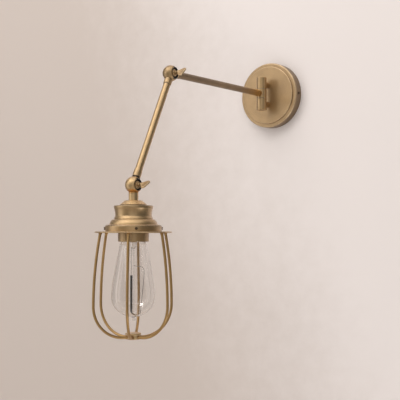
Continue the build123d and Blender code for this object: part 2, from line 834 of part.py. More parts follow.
def filament_wire(points, bend, radius):
    """Round wire in the filament's plane through (across, drop) points."""
    path = Plane.XZ * FilletPolyline(*points, radius=bend)
    section = Plane(path @ 0, z_dir=path % 0) * Circle(radius)
    return shade_frame * Rot(0, 0, -filament_plane) * sweep(section, path)


def bulb_leads():
    """Lead wires from the stem to the filament's two ends."""
    straight = rod(lead_radius, stem_end - stem_end_radius, filament_top)
    left = shade_frame * Rot(0, 0, -filament_plane) * Pos(filament_left, 0, 0) * straight
    hook = [
        (stem_rod_radius, hook_drop), (filament_right - hook_rise, hook_drop + hook_rise),
        (filament_right, hook_drop + 2 * hook_bend), (filament_right, filament_top),
    ]
    right = filament_wire(hook, hook_bend, lead_radius)
    return [left - bulb_stem(), right - bulb_stem()]


def bulb_filament():
    legs = [
        (filament_left, filament_top), (filament_left, filament_end),
        (filament_foot, filament_end), (filament_right, filament_top),
    ]
    return filament_wire(legs, filament_bend, filament_radius)


pieces = {
    "wall_strap": wall_strap(),
    "wall_plate": wall_plate(),
    "plate_side_screws": side_screws(),
    "ground_screw": ground_screw(),
    "upper_hinge_knuckle": upper_knuckle(),
    "lower_hinge_knuckle": below(upper_knuckle()),
    "hinge_stub_nuts": stub_nuts(),
    "hinge_pin": hinge_pin(),
    "hinge_washers": swivel_washers(),
    "hinge_end_caps": swivel_caps(),
    "swing_knuckle": swing_knuckle(),
    "arm_root_fitting": arm_root(),
    "upper_arm_tube": upper_arm_tube(),
    "upper_arm_ferrule": upper_stem * ferrule(short_ferrule_length, short_ferrule_taper),
    "upper_arm_set_screw": arm_set_screw(),
    "elbow_inner_half": upper_stem * ball_half(1, ferrule_radius, spigot_end),
    "elbow_outer_half": lower_stem_top * ball_half(-1, ferrule_radius, spigot_end),
    "elbow_friction_disc": friction_disc(elbow),
    "elbow_thumb_washer": thumb_washer(elbow),
    "elbow_thumb_screw": thumb_screw(elbow, elbow_paddle_turn),
    "lower_arm_top_ferrule": lower_stem_top * ferrule(short_ferrule_length, short_ferrule_taper),
    "lower_arm_tube": lower_arm_tube(),
    "lower_arm_end_ferrule": lower_stem_end * ferrule(
        long_ferrule_length, long_ferrule_taper, end_ferrule_skirt),
    "shade_pivot_arm_half": lower_stem_end * ball_half(1, end_neck_radius, spigot_end),
    "shade_pivot_neck_half": shade_frame * ball_half(-1, neck_radius, neck_tail_end - slip_gap),
    "shade_friction_disc": friction_disc(shade_pivot),
    "shade_thumb_washer": thumb_washer(shade_pivot),
    "shade_thumb_screw": thumb_screw(shade_pivot, shade_paddle_turn),
    "shade_neck": neck(),
    "neck_nuts": neck_nuts(),
    "holder_dome": holder_dome(),
    "shade_holder": shade_holder(),
    "holder_screws": holder_screws(),
    "cage_ring": cage_ring(),
    "cage_wires": cage_wires(),
    "cage_hub": cage_hub(),
    "socket_shell": socket_shell(),
    "socket_body": socket_body(),
    "socket_screw_shell": socket_screw_shell(),
    "socket_contact": socket_contact(),
    "bulb_cap": bulb_cap(),
    "bulb_insulator": bulb_insulator(),
    "bulb_contact": bulb_contact(),
    "bulb_glass": bulb_glass(),
    "bulb_stem": bulb_stem(),
    "bulb_leads": bulb_leads(),
    "bulb_filament": bulb_filament(),
}

os.makedirs("parts", exist_ok=True)
for name, piece in pieces.items():
    solids = piece if isinstance(piece, list) else [piece]
    export_step(Compound([solid for item in solids for solid in item.solids()]), f"parts/{name}.step")
print("elbow", tuple(elbow), "shade pivot", tuple(shade_pivot))
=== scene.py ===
"""Dresses a swing-arm wall sconce: its finishes, its turned and bent surfaces, and a plain studio."""
import json
import logging
import math
from dataclasses import dataclass
from enum import Enum

import bmesh
import bpy
import numpy as np
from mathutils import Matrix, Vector


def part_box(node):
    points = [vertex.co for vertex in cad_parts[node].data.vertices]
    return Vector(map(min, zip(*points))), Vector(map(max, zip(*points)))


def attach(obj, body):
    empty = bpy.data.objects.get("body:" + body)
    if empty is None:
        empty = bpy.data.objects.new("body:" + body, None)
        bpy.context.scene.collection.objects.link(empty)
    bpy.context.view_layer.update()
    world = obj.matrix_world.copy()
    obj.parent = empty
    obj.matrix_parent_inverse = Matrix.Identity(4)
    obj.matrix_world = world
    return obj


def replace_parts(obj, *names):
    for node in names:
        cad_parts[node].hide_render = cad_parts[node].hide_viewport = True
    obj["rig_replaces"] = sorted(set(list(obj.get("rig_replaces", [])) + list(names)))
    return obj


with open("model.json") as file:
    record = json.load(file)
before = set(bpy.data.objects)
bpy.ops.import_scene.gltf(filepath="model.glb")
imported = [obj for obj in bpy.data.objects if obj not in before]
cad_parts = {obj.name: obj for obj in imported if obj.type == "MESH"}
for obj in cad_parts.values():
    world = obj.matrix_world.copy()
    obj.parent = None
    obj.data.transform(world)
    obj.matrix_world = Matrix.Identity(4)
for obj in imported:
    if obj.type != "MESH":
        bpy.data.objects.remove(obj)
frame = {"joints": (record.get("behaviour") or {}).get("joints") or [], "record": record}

log = logging.getLogger("sconce")

MM = 0.001
RECORD: dict = frame["record"]
BODY_OF: dict[str, str] = {
    node: body for body, nodes in RECORD["behaviour"]["bodies"].items() for node in nodes
}
SLOT_OF: dict[str, str] = {row["node"]: row["material_slot"] for row in RECORD["subparts"]}

Triple = tuple[float, float, float]
Array = np.ndarray
Piece = bpy.types.Object
Material = bpy.types.Material
Socket = bpy.types.NodeSocket
Outputs = bpy.types.bpy_prop_collection


def joint_place(name: str) -> Vector:
    """The point in metres that a joint's axis passes, by the joint's name in the record."""
    return next(Vector(joint["pos_m"]) for joint in frame["joints"] if joint["name"] == name)


class Slot(Enum):
    """The record's material slots."""

    BRASS = "satin_brass"
    ZINC = "zinc_steel"
    DARK_STEEL = "dark_steel"
    GROUND = "green_screw"
    NYLON = "nylon"
    FIBRE = "black_fibre"
    PORCELAIN = "porcelain"
    NICKEL = "nickel"
    VITRITE = "black_glass"
    GLASS = "clear_glass"
    FILAMENT = "filament"


class Grain(Enum):
    """How a metal piece was worked, by the shader group of its fine lines."""

    TURNED = "lathe rings"
    DRAWN = "draw lines"


# Surfaces

FULL_TURN = 2 * np.pi
X, Y, Z = Vector((1, 0, 0)), Vector((0, 1, 0)), Vector((0, 0, 1))
# Roundings of corners that are left crisp, and of fine edges.
CRISP = 0.1 * MM
FINE = 0.3 * MM
# The share of an arm that a rounding may take, and its guard point's share of the radius and of the room.
ROUND_ROOM = 0.48
GUARD_OF_ROUND = 0.3
GUARD_OF_ROOM = 0.02
# The least angles and the least length that are divided by.
LEAST_OPENING = 1e-3
LEAST_TURN = 1e-6
TINY = 1e-12
# Points closer than the first are one point, and faces thinner than the second are taken out.
WELD = 2e-6
SLIVER = 1e-7


@dataclass(frozen=True)
class Axis:
    """A straight line that a surface is turned about or runs along.

    origin is a point on it, along its direction and across the direction of angle zero.
    """

    origin: Vector
    along: Vector
    across: Vector = X

    def __post_init__(self) -> None:
        """Fixes the vectors, so that an axis can be part of a key."""
        for vector in (self.origin, self.along, self.across):
            vector.freeze()

    def out(self, angle: Array) -> Array:
        """Directions away from the axis: cosine times across, plus sine times along cross across."""
        third = np.cross(np.array(self.along), np.array(self.across))
        return np.cos(angle)[..., None] * np.array(self.across) + np.sin(angle)[..., None] * third

    def place(self, radius: Array, angle: Array, height: Array) -> Array:
        """Points at a radius and an angle about the axis, and a height along it, as rows of three."""
        rise = height[..., None] * np.array(self.along)
        return np.array(self.origin) + rise + radius[..., None] * self.out(angle)


@dataclass
class Profile:
    """An outline in the plane of radius and height, with its edge wear.

    It is a closed loop, or a line.
    """

    radius: Array
    height: Array
    wear: Array
    closed: bool = False


def unit(rows: Array) -> Array:
    """Each row of an array, divided by its length."""
    return rows / np.maximum(np.linalg.norm(rows, axis=1), TINY)[:, None]


def eased(value: Array, start: float, end: float) -> Array:
    """A smooth step from 0 at start to 1 at end: three times the share's square less twice its cube."""
    share = np.clip((value - start) / (end - start), 0, 1)
    return share * share * (3 - 2 * share)


def run_length(across: Array, along: Array) -> Array:
    """The length of a line of points up to each of them: the sum of the steps before it."""
    return np.concatenate([[0], np.cumsum(np.hypot(np.diff(across), np.diff(along)))])


def rounded(corners: list[Triple], closed: bool, steps: int = 7) -> Profile:
    """Rounds each corner of an outline with an arc.

    At a corner with arms a and b, which open by an angle p, an arc of radius r starts r / tan(p / 2)
    along each arm. Its points are the spherical mean of its first and last radius, about a centre that
    lies r / sin(p / 2) from the corner on the line between the arms. A guard point on each arm keeps
    the flats flat. Wear is 1 on the top of an outer corner and -1 in an inner one.

    Args:
        corners: (radius, height, rounding) for each corner, with the metal on the left.
        closed: Whether the outline returns to its first corner.
        steps: Points on each arc.
    Returns:
        The rounded profile.
    """
    table = np.array(corners, float)
    point = table[:, :2]
    back = np.roll(point, 1, axis=0) - point
    ahead = np.roll(point, -1, axis=0) - point
    a, b = unit(back), unit(ahead)
    opening = np.arccos(np.clip((a * b).sum(1), -1, 1))
    room = ROUND_ROOM * np.minimum(np.linalg.norm(back, axis=1), np.linalg.norm(ahead, axis=1))
    setback = np.minimum(table[:, 2] / np.tan(np.maximum(opening, LEAST_OPENING) / 2), room)
    radius = setback * np.tan(opening / 2)
    turn = np.maximum(np.pi - opening, LEAST_TURN)
    centre = point + unit(a + b) * (radius / np.maximum(np.sin(opening / 2), LEAST_TURN))[:, None]
    first = point + a * setback[:, None] - centre
    last = point + b * setback[:, None] - centre
    share = np.linspace(0, 1, steps)
    of_first = np.sin((1 - share) * turn[:, None]) / np.sin(turn)[:, None]
    of_last = np.sin(share * turn[:, None]) / np.sin(turn)[:, None]
    arc = centre[:, None] + of_first[..., None] * first[:, None] + of_last[..., None] * last[:, None]
    guard = np.minimum(GUARD_OF_ROUND * radius, (room - setback) / 2 + GUARD_OF_ROOM * room)
    before = point + a * (setback + guard)[:, None]
    after = point + b * (setback + guard)[:, None]
    line = np.concatenate([before[:, None], arc, after[:, None]], axis=1)
    side = np.sign(a[:, 0] * b[:, 1] - a[:, 1] * b[:, 0])
    bend = np.sin(np.pi * share) * side[:, None] * np.minimum(turn[:, None], 1.0)
    wear = np.pad(bend, ((0, 0), (1, 1)))
    if not closed:
        line[[0, -1]] = point[[0, -1], None]
        wear[[0, -1]] = 0
    return Profile(*line.reshape(-1, 2).T, wear.reshape(-1), closed)


def grid_faces(rows: int, columns: int, wrap_rows: bool) -> Array:
    """Corner numbers of the quads of a grid that is closed round its columns.

    Args:
        rows: Points along the profile.
        columns: Points round the axis.
        wrap_rows: Whether the last row joins the first.
    Returns:
        An array of four corner numbers for each quad.
    """
    down, side = np.indices((rows if wrap_rows else rows - 1, columns)).reshape(2, -1)
    below, beside = (down + 1) % rows, (side + 1) % columns
    corners = (down, side), (below, side), (below, beside), (down, beside)
    return np.stack([row * columns + column for row, column in corners], axis=1)


def placed(name: str, data: bpy.types.ID) -> Piece:
    """A new object in the scene.

    Args:
        name: Its name.
        data: Its mesh, lamp or camera.
    Returns:
        The object, at the origin.
    """
    thing = bpy.data.objects.new(name, data)
    bpy.context.scene.collection.objects.link(thing)
    return thing


def mesh_piece(name: str, node: str, points: Array, faces: Array, wear: Array) -> None:
    """Makes one smooth closed piece that stands for a node: it rides on the node's body.

    Args:
        name: The piece's name.
        node: The node that it replaces.
        points: An array of points in metres.
        faces: An array of four point numbers for each quad.
        wear: Edge wear at each point, from -1 in a crevice to 1 on an edge.
    """
    mesh = bpy.data.meshes.new(name)
    mesh.from_pydata(points.reshape(-1, 3).tolist(), [], faces.tolist())
    mesh.attributes.new("wear", "FLOAT", "POINT").data.foreach_set("value", wear.astype(np.float32).ravel())
    work = bmesh.new()
    work.from_mesh(mesh)
    bmesh.ops.remove_doubles(work, verts=work.verts, dist=WELD)
    bmesh.ops.dissolve_degenerate(work, edges=work.edges, dist=SLIVER)
    bmesh.ops.recalc_face_normals(work, faces=work.faces)
    work.to_mesh(mesh)
    work.free()
    mesh.shade_smooth()
    piece = placed(name, mesh)
    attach(piece, BODY_OF[node])
    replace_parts(piece, node)
    log.info("%s stands for %s", name, node)


def spun(name: str, node: str, axis: Axis, profile: Profile, columns: int) -> None:
    """A surface of revolution that stands for a node: each point of its profile goes once round the axis.

    Args:
        name: The piece's name.
        node: The node that it replaces.
        axis: The line it is turned about.
        profile: Its outline, a loop, or a line with both ends on the axis.
        columns: Points round the axis.
    """
    angle = np.linspace(0, FULL_TURN, columns, endpoint=False)
    points = axis.place(profile.radius[:, None], angle, profile.height[:, None])
    faces = grid_faces(len(profile.radius), columns, profile.closed)
    mesh_piece(name, node, points, faces, np.repeat(profile.wear, columns))


def bent_rod(
    axis: Axis, angle: float, radius: Array, height: Array, thickness: Array, sides: int,
) -> tuple[Array, Array]:
    """A round section carried along a path in a plane through an axis, closed to a point at both ends.

    The section stands square to the path: its two directions are the plane's normal and the cross
    product of that normal with the path's tangent.

    Args:
        axis: The axis.
        angle: The plane's angle about it, in radians.
        radius: The path's distances from the axis.
        height: The path's distances along the axis.
        thickness: The section's radius at each point of the path.
        sides: Points round the section.
    Returns:
        The points as rows of sections, and the quads.
    """
    centre = axis.place(radius, np.float64(angle), height)
    normal = axis.out(np.float64(angle + np.pi / 2))
    outward = np.cross(normal, unit(np.gradient(centre, axis=0)))
    turn = np.linspace(0, FULL_TURN, sides, endpoint=False)[:, None]
    section = np.cos(turn) * outward[:, None] + np.sin(turn) * normal
    rings = centre[:, None] + thickness[:, None, None] * section
    start, end = (np.repeat(centre[place][None, None], sides, axis=1) for place in (0, -1))
    points = np.concatenate([start, rings, end])
    return points, grid_faces(len(points), sides, False)


# Shader groups

# The range that most of a noise's values lie in, and a Mix node's inputs between its factor and colours.
USUAL = (0.3, 0.7)
OTHER_KINDS = [None] * 5
# How fine tool lines are, how far a drawn tube's are stretched, and the share of a band that is full.
LINE_FINENESS = 1400.0
DRAWN_STRETCH = 0.012
BAND_CORE = 0.6


class Graph:
    """A node tree with short ways to add nodes and links."""

    def __init__(self, tree: bpy.types.NodeTree) -> None:
        """Empties a tree to build in."""
        self.tree = tree
        tree.nodes.clear()

    def add(self, kind: str, *values: object, **settings: object) -> bpy.types.Node:
        """Adds a node.

        Args:
            kind: Blender's name for the node type.
            *values: Constants or outputs for its first inputs, with None for one that is left as it is.
            **settings: Values for its properties.
        Returns:
            The new node.
        """
        node = self.tree.nodes.new(kind)
        for key, value in settings.items():
            setattr(node, key, value)
        for target, value in zip(node.inputs, values):
            self.feed(target, value)
        return node

    def link(self, source: Socket, target: Socket) -> None:
        """Joins an output to an input."""
        self.tree.links.new(source, target)

    def feed(self, target: Socket, value: object) -> None:
        """Links an input to an output, or gives it a constant.

        Args:
            target: The input.
            value: The output, the constant, or None.
        """
        if isinstance(value, Socket):
            self.link(value, target)
        elif value is not None:
            target.default_value = value

    def math(self, operation: str, *values: object) -> Socket:
        """The result of a Math node on constants or outputs."""
        return self.add("ShaderNodeMath", *values, operation=operation).outputs[0]

    def noise(self, vector: Socket, scale: object, detail: float, rough: float) -> Socket:
        """The value of a noise texture, read at a vector."""
        return self.add("ShaderNodeTexNoise", vector, None, scale, detail, rough).outputs[0]

    def between(
        self, value: Socket, low: float, high: float, to_low: float = 0.0, to_high: float = 1.0,
    ) -> Socket:
        """A value that is mapped from low and high to to_low and to_high, and clamped there."""
        return self.add("ShaderNodeMapRange", value, low, high, to_low, to_high, clamp=True).outputs[0]

    def mix(self, share: Socket, *colours: object) -> Socket:
        """A mix of two colours, which are constants or outputs, by the share of the second."""
        pair = [(*colour, 1.0) if isinstance(colour, tuple) else colour for colour in colours]
        return self.add("ShaderNodeMix", share, *OTHER_KINDS, *pair, data_type="RGBA").outputs[2]

    def parts(self, vector: Socket) -> Outputs:
        """A vector's X, Y and Z."""
        return self.add("ShaderNodeSeparateXYZ", vector).outputs


class Group(Graph):
    """A shader group that reads coordinates and puts out values."""

    def __init__(self, name: str, settings: dict[str, float], *results: str) -> None:
        """Makes the group with its sockets.

        Args:
            name: The group's name.
            settings: Its numbers, each with its usual value.
            *results: Names of its outputs.
        """
        tree = bpy.data.node_groups.new(name, "ShaderNodeTree")
        tree.interface.new_socket("Vector", in_out="INPUT", socket_type="NodeSocketVector")
        for label, value in settings.items():
            socket = tree.interface.new_socket(label, in_out="INPUT", socket_type="NodeSocketFloat")
            socket.default_value = value
        for label in results:
            tree.interface.new_socket(label, in_out="OUTPUT", socket_type="NodeSocketFloat")
        super().__init__(tree)
        self.given = self.add("NodeGroupInput").outputs
        self.made = self.add("NodeGroupOutput").inputs
        self.vector = self.given["Vector"]


def patina_group() -> None:
    """Soft cloudy tarnish with small specks: broad noise thins the tarnish out, fine noise dots it."""
    settings = {"Cloud Scale": 45.0, "Speck Scale": 900.0, "Amount": 0.5}
    group = Group("cloudy patina", settings, "Mask", "Speck")
    cloud = group.noise(group.vector, group.given["Cloud Scale"], detail=4.0, rough=0.55)
    speck = group.noise(group.vector, group.given["Speck Scale"], detail=2.0, rough=0.6)
    dots = group.between(speck, 0.62, 0.8, to_high=0.5)
    spotted = group.math("ADD", group.between(cloud, 0.38, 0.68), dots)
    group.link(group.math("MULTIPLY", spotted, group.given["Amount"]), group.made["Mask"])
    group.link(speck, group.made["Speck"])


def turned_group() -> None:
    """Fine rings of a lathe: noise that is read by the distance from the Z axis and the height on it."""
    group = Group("lathe rings", {"Fineness": LINE_FINENESS}, "Line")
    x, y, z = group.parts(group.vector)
    squares = group.math("ADD", group.math("POWER", x, 2.0), group.math("POWER", y, 2.0))
    ring = group.add("ShaderNodeCombineXYZ", group.math("SQRT", squares), z).outputs[0]
    line = group.noise(ring, group.given["Fineness"], detail=3.0, rough=0.65)
    group.link(line, group.made["Line"])


def drawn_group() -> None:
    """Fine lines of a drawn tube: noise that is stretched along the Z axis."""
    group = Group("draw lines", {"Fineness": LINE_FINENESS}, "Line")
    scale = (1.0, 1.0, DRAWN_STRETCH)
    stretched = group.add("ShaderNodeVectorMath", group.vector, scale, operation="MULTIPLY").outputs[0]
    line = group.noise(stretched, group.given["Fineness"], detail=3.0, rough=0.65)
    group.link(line, group.made["Line"])


def edge_group() -> None:
    """Rubbed edges and dark crevices, from the wear that a turned piece carries, broken up by noise."""
    group = Group("edge wear", {"Break Scale": 300.0}, "Rubbed", "Grime")
    wear = group.add("ShaderNodeAttribute", attribute_name="wear").outputs["Fac"]
    uneven = group.noise(group.vector, group.given["Break Scale"], detail=3.0, rough=0.6)
    broken = group.between(uneven, *USUAL, to_low=0.35)
    for label, sign in (("Rubbed", 1.0), ("Grime", -1.0)):
        side = group.math("MAXIMUM", group.math("MULTIPLY", wear, sign), 0.0)
        group.link(group.math("MULTIPLY", side, broken), group.made[label])


def film_group() -> None:
    """A thin uneven film, such as dust on glass or glaze: broad smears with fine grains."""
    scales = {"Smear Scale": 30.0, "Grain Scale": 1500.0, "Ripple Scale": 14.0}
    group = Group("thin film", scales, "Film", "Ripple")
    smear = group.noise(group.vector, group.given["Smear Scale"], detail=3.0, rough=0.5)
    grain = group.noise(group.vector, group.given["Grain Scale"], detail=2.0, rough=0.5)
    ripple = group.noise(group.vector, group.given["Ripple Scale"], detail=1.0, rough=0.4)
    group.link(group.math("MULTIPLY", group.between(smear, 0.4, 0.75), grain), group.made["Film"])
    group.link(ripple, group.made["Ripple"])


def band_group() -> None:
    """A soft band across an axis: full on its line along Z, and gone a width away from it."""
    group = Group("band", {"Height": 0.0, "Width": 1.0 * MM}, "Mask")
    away = group.math("SUBTRACT", group.parts(group.vector)["Z"], group.given["Height"])
    share = group.math("DIVIDE", group.math("ABSOLUTE", away), group.given["Width"])
    group.link(group.between(share, BAND_CORE, 1.0, to_low=1.0, to_high=0.0), group.made["Mask"])


SHADER_GROUPS = band_group, patina_group, turned_group, drawn_group, edge_group, film_group


# Finishes

# Metal: the tarnish in a tool line, how far rubbing and grime cover, what rubbing takes off the
# roughness, how far the roughness spreads, the relief of the lines with their specks, and the lacquer.
LINE_TARNISH = 0.35
RUBBED_COVER = 0.75
GRIME_COVER = 0.85
RUBBED_POLISH = 0.1
SMOOTHER = 0.04
ROUGHER = 0.12
LINE_DEPTH = 0.03 * MM
LINE_STRENGTH = 0.15
SPECK_RELIEF = 0.12
LACQUER_ROUGHNESS = 0.3
LACQUER_INDEX = 1.6
# Moulded and glazed pieces: the patina in their film, what it adds to the roughness, the glaze's own
# roughness, and the strength of their grain.
FILM_PATINA = 0.4
FILM_ROUGHNESS = 0.25
GLAZE_ROUGHNESS = 0.08
GRAIN_STRENGTH = 0.3
# Glass: the roughness of its film, and its ripples.
SMEAR_ROUGHNESS = 0.02
RIPPLE_STRENGTH = 0.1
RIPPLE_DEPTH = 0.25 * MM


@dataclass(frozen=True)
class Band:
    """A line of another colour across a piece: painted shade at a joint or a rim, a painted reflection, a
    warmer tone or a brass rim.

    It lies at a height along an axis, and reaches a width to each side.
    """

    axis: Axis
    height: float
    width: float
    colour: Triple


class MaterialGraph(Graph):
    """A material's tree with its Principled shader, output and object coordinates."""

    def __init__(self, name: str) -> None:
        """Makes the material.

        Args:
            name: Its name.
        """
        self.material = bpy.data.materials.new(name)
        self.material.use_nodes = True
        super().__init__(self.material.node_tree)
        self.output = self.add("ShaderNodeOutputMaterial")
        self.shader = self.add("ShaderNodeBsdfPrincipled")
        self.link(self.shader.outputs[0], self.output.inputs["Surface"])
        self.coordinates = self.add("ShaderNodeTexCoord").outputs["Object"]

    def group(self, name: str, vector: Socket, **values: float) -> Outputs:
        """Places a shader group.

        Args:
            name: The group's name.
            vector: The coordinates that it reads.
            **values: Its own values for the group's numbers.
        Returns:
            The group's outputs.
        """
        node = self.add("ShaderNodeGroup", vector, node_tree=bpy.data.node_groups[name])
        for label, value in values.items():
            node.inputs[label].default_value = value
        return node.outputs

    def turned_to(self, axis: Axis) -> Socket:
        """Object coordinates that start at an axis's origin and have their Z along it."""
        place = self.coordinates, axis.origin, axis.along.to_track_quat("Z", "Y").to_euler()
        return self.add("ShaderNodeMapping", *place, vector_type="TEXTURE").outputs[0]

    def banded(self, colour: Socket, bands: tuple[Band, ...]) -> Socket:
        """Lays bands over a colour.

        Args:
            colour: The colour below.
            bands: The bands, in order.
        Returns:
            The colour with its bands.
        """
        for band in bands:
            mask = self.group("band", self.turned_to(band.axis), Height=band.height, Width=band.width)
            colour = self.mix(mask["Mask"], colour, band.colour)
        return colour

    def bump(self, height: Socket, strength: float, distance: float) -> None:
        """Raises the surface by a height, through a Bump node.

        Args:
            height: The height, from 0 to 1.
            strength: How much of it shows.
            distance: What a height of 1 is, in metres.
        """
        node = self.add("ShaderNodeBump", strength, distance)
        self.link(height, node.inputs["Height"])
        self.link(node.outputs[0], self.shader.inputs["Normal"])

    def surface(self, **values: object) -> None:
        """Feeds the shader's own sockets, named with an underscore for each space."""
        for label, value in values.items():
            self.feed(self.shader.inputs[label.replace("_", " ")], value)

    def clear_where(self, mask: Socket) -> None:
        """Lets rays pass straight through the surface where a mask is 1.

        Args:
            mask: The mask.
        """
        clear = self.add("ShaderNodeBsdfTransparent").outputs[0]
        mix = self.add("ShaderNodeMixShader", mask, self.shader.outputs[0], clear)
        self.link(mix.outputs[0], self.output.inputs["Surface"])


@dataclass(frozen=True)
class MetalFinish:
    """A worked metal with cloudy tarnish, fine tool lines, rubbed edges and grime."""

    name: str
    colour: Triple
    tarnish: Triple
    bright: Triple
    # Grime in crevices; the same colour is also painted as shade in the joints' bands.
    grime_and_shade: Triple
    roughness: float
    tarnish_amount: float = 0.5
    lacquer: float = 0.0

    def material(self, bands: tuple[Band, ...], grain: Grain, axis: Axis) -> Material:
        """Builds the finish for pieces that were worked about one axis.

        Args:
            bands: Bands across them.
            grain: How they were worked.
            axis: The axis of their tool lines.
        Returns:
            The material.
        """
        graph = MaterialGraph(self.name)
        patina = graph.group("cloudy patina", graph.coordinates, Amount=self.tarnish_amount)
        line = graph.group(grain.value, graph.turned_to(axis))["Line"]
        edge = graph.group("edge wear", graph.coordinates)
        streak = graph.between(line, *USUAL, to_high=LINE_TARNISH)
        dull = graph.math("ADD", patina["Mask"], graph.math("MULTIPLY", streak, self.tarnish_amount))
        colour = graph.mix(dull, self.colour, self.tarnish)
        for label, cover, over in (("Rubbed", RUBBED_COVER, self.bright), ("Grime", GRIME_COVER, self.grime_and_shade)):
            colour = graph.mix(graph.math("MULTIPLY", edge[label], cover), colour, over)
        worn = graph.math("ADD", dull, streak)
        rough = graph.between(worn, 0.0, 1.0, self.roughness - SMOOTHER, self.roughness + ROUGHER)
        polish = graph.math("MULTIPLY", edge["Rubbed"], RUBBED_POLISH)
        graph.surface(
            Base_Color=graph.banded(colour, bands), Roughness=graph.math("SUBTRACT", rough, polish),
            Metallic=1.0, Coat_Weight=self.lacquer, Coat_Roughness=LACQUER_ROUGHNESS, Coat_IOR=LACQUER_INDEX)
        relief = graph.math("ADD", line, graph.math("MULTIPLY", patina["Speck"], SPECK_RELIEF))
        graph.bump(relief, LINE_STRENGTH, LINE_DEPTH)
        return graph.material


@dataclass(frozen=True)
class PlainFinish:
    """A moulded, painted or glazed surface with an uneven film."""

    name: str
    colour: Triple
    film: Triple
    roughness: float
    grain_depth: float = 0.02 * MM
    coat: float = 0.0

    def material(self, bands: tuple[Band, ...]) -> Material:
        """Builds the finish.

        Args:
            bands: Bands across it.
        Returns:
            The material.
        """
        graph = MaterialGraph(self.name)
        film = graph.group("thin film", graph.coordinates)["Film"]
        patina = graph.group("cloudy patina", graph.coordinates)
        share = graph.math("ADD", film, graph.math("MULTIPLY", patina["Mask"], FILM_PATINA))
        graph.surface(
            Base_Color=graph.banded(graph.mix(share, self.colour, self.film), bands),
            Roughness=graph.between(share, 0.0, 1.0, self.roughness, self.roughness + FILM_ROUGHNESS),
            Coat_Weight=self.coat, Coat_Roughness=GLAZE_ROUGHNESS)
        graph.bump(patina["Speck"], GRAIN_STRENGTH, self.grain_depth)
        return graph.material


@dataclass(frozen=True)
class GlassFinish:
    """Clear blown glass with faint ripples and a thin film. Lamps shine through it."""

    name: str
    tint: Triple
    film: Triple
    index: float

    def material(self, bands: tuple[Band, ...]) -> Material:
        """Builds the finish.

        Args:
            bands: Bands across it.
        Returns:
            The material.
        """
        graph = MaterialGraph(self.name)
        film = graph.group("thin film", graph.coordinates)
        graph.surface(
            Base_Color=graph.banded(graph.mix(film["Film"], self.tint, self.film), bands),
            Roughness=graph.between(film["Film"], 0.0, 1.0, to_high=SMEAR_ROUGHNESS),
            Transmission_Weight=1.0, IOR=self.index)
        graph.bump(film["Ripple"], RIPPLE_STRENGTH, RIPPLE_DEPTH)
        graph.clear_where(graph.add("ShaderNodeLightPath").outputs["Is Shadow Ray"])
        return graph.material


Finish = MetalFinish | PlainFinish | GlassFinish

AGED_BRASS = MetalFinish(
    "aged satin brass", (0.51, 0.33, 0.15), (0.38, 0.243, 0.108), (0.70, 0.53, 0.33), (0.17, 0.11, 0.06),
    0.42, 0.45, 0.75)
# A darker copy of the brass: painted shade on the upper arm and its fittings, and on the plate's rim.
SHADED_BRASS = MetalFinish(
    "brass painted darker", (0.235, 0.158, 0.088), (0.165, 0.11, 0.062), (0.50, 0.36, 0.21), (0.12, 0.08, 0.04),
    0.44, 0.5, 0.3)
# The plate's rubbed-edge colour is brighter than in the other brasses: worn edges with a painted highlight on
# them.
PLATE_BRASS = MetalFinish(
    "satin plate brass", (0.48, 0.315, 0.155), (0.37, 0.24, 0.115), (0.85, 0.66, 0.42), (0.17, 0.10, 0.05),
    0.52, 0.45, 0.5)
WIRE_BRASS = MetalFinish(
    "drawn brass wire", (0.47, 0.285, 0.112), (0.33, 0.195, 0.075), (0.62, 0.45, 0.26), (0.15, 0.10, 0.05),
    0.42, 0.5, 0.2)
# A lighter copy of the brass: painted light on the shade pivot, its neck, the dome, the cage ring and the
# hub.
PAINTED_LIGHT_BRASS = MetalFinish(
    "brass painted lighter", (0.69, 0.47, 0.235), (0.54, 0.36, 0.17), (0.80, 0.62, 0.40), (0.17, 0.11, 0.06),
    0.42, 0.4, 0.6)
ZINC_STEEL = MetalFinish(
    "zinc plated steel", (0.60, 0.61, 0.62), (0.46, 0.46, 0.45), (0.75, 0.75, 0.75), (0.18, 0.17, 0.16), 0.38)
DARK_STEEL = MetalFinish(
    "blackened steel", (0.13, 0.09, 0.055), (0.08, 0.055, 0.035), (0.30, 0.21, 0.13), (0.02, 0.015, 0.01),
    0.4)
GROUND_GREEN = MetalFinish(
    "green dyed screw", (0.05, 0.26, 0.10), (0.03, 0.16, 0.07), (0.35, 0.45, 0.36), (0.02, 0.06, 0.03), 0.4)
NICKEL = MetalFinish(
    "bright nickel", (0.66, 0.63, 0.58), (0.52, 0.49, 0.44), (0.82, 0.80, 0.76), (0.22, 0.20, 0.17), 0.22)
FIBRE = PlainFinish("black fibre", (0.012, 0.011, 0.010), (0.035, 0.03, 0.026), 0.6, 0.05 * MM)

FINISH_OF: dict[Slot, Finish] = {
    Slot.BRASS: AGED_BRASS,
    Slot.ZINC: ZINC_STEEL,
    Slot.DARK_STEEL: DARK_STEEL,
    Slot.GROUND: GROUND_GREEN,
    Slot.NICKEL: NICKEL,
    Slot.FIBRE: FIBRE,
    Slot.NYLON: PlainFinish("natural nylon", (0.72, 0.69, 0.61), (0.58, 0.54, 0.46), 0.45),
    Slot.PORCELAIN: PlainFinish(
        "glazed porcelain", (0.80, 0.78, 0.73), (0.66, 0.62, 0.55), 0.22, 0.01 * MM, 0.5),
    Slot.VITRITE: PlainFinish(
        "black vitrite", (0.012, 0.012, 0.013), (0.03, 0.03, 0.03), 0.15, 0.01 * MM, 0.3),
    Slot.FILAMENT: PlainFinish(
        "carbon filament", (0.012, 0.010, 0.009), (0.05, 0.04, 0.03), 0.5, 0.05 * MM),
    Slot.GLASS: GlassFinish("clear blown glass", (0.955, 0.945, 0.935), (0.935, 0.925, 0.915), 1.46),
}
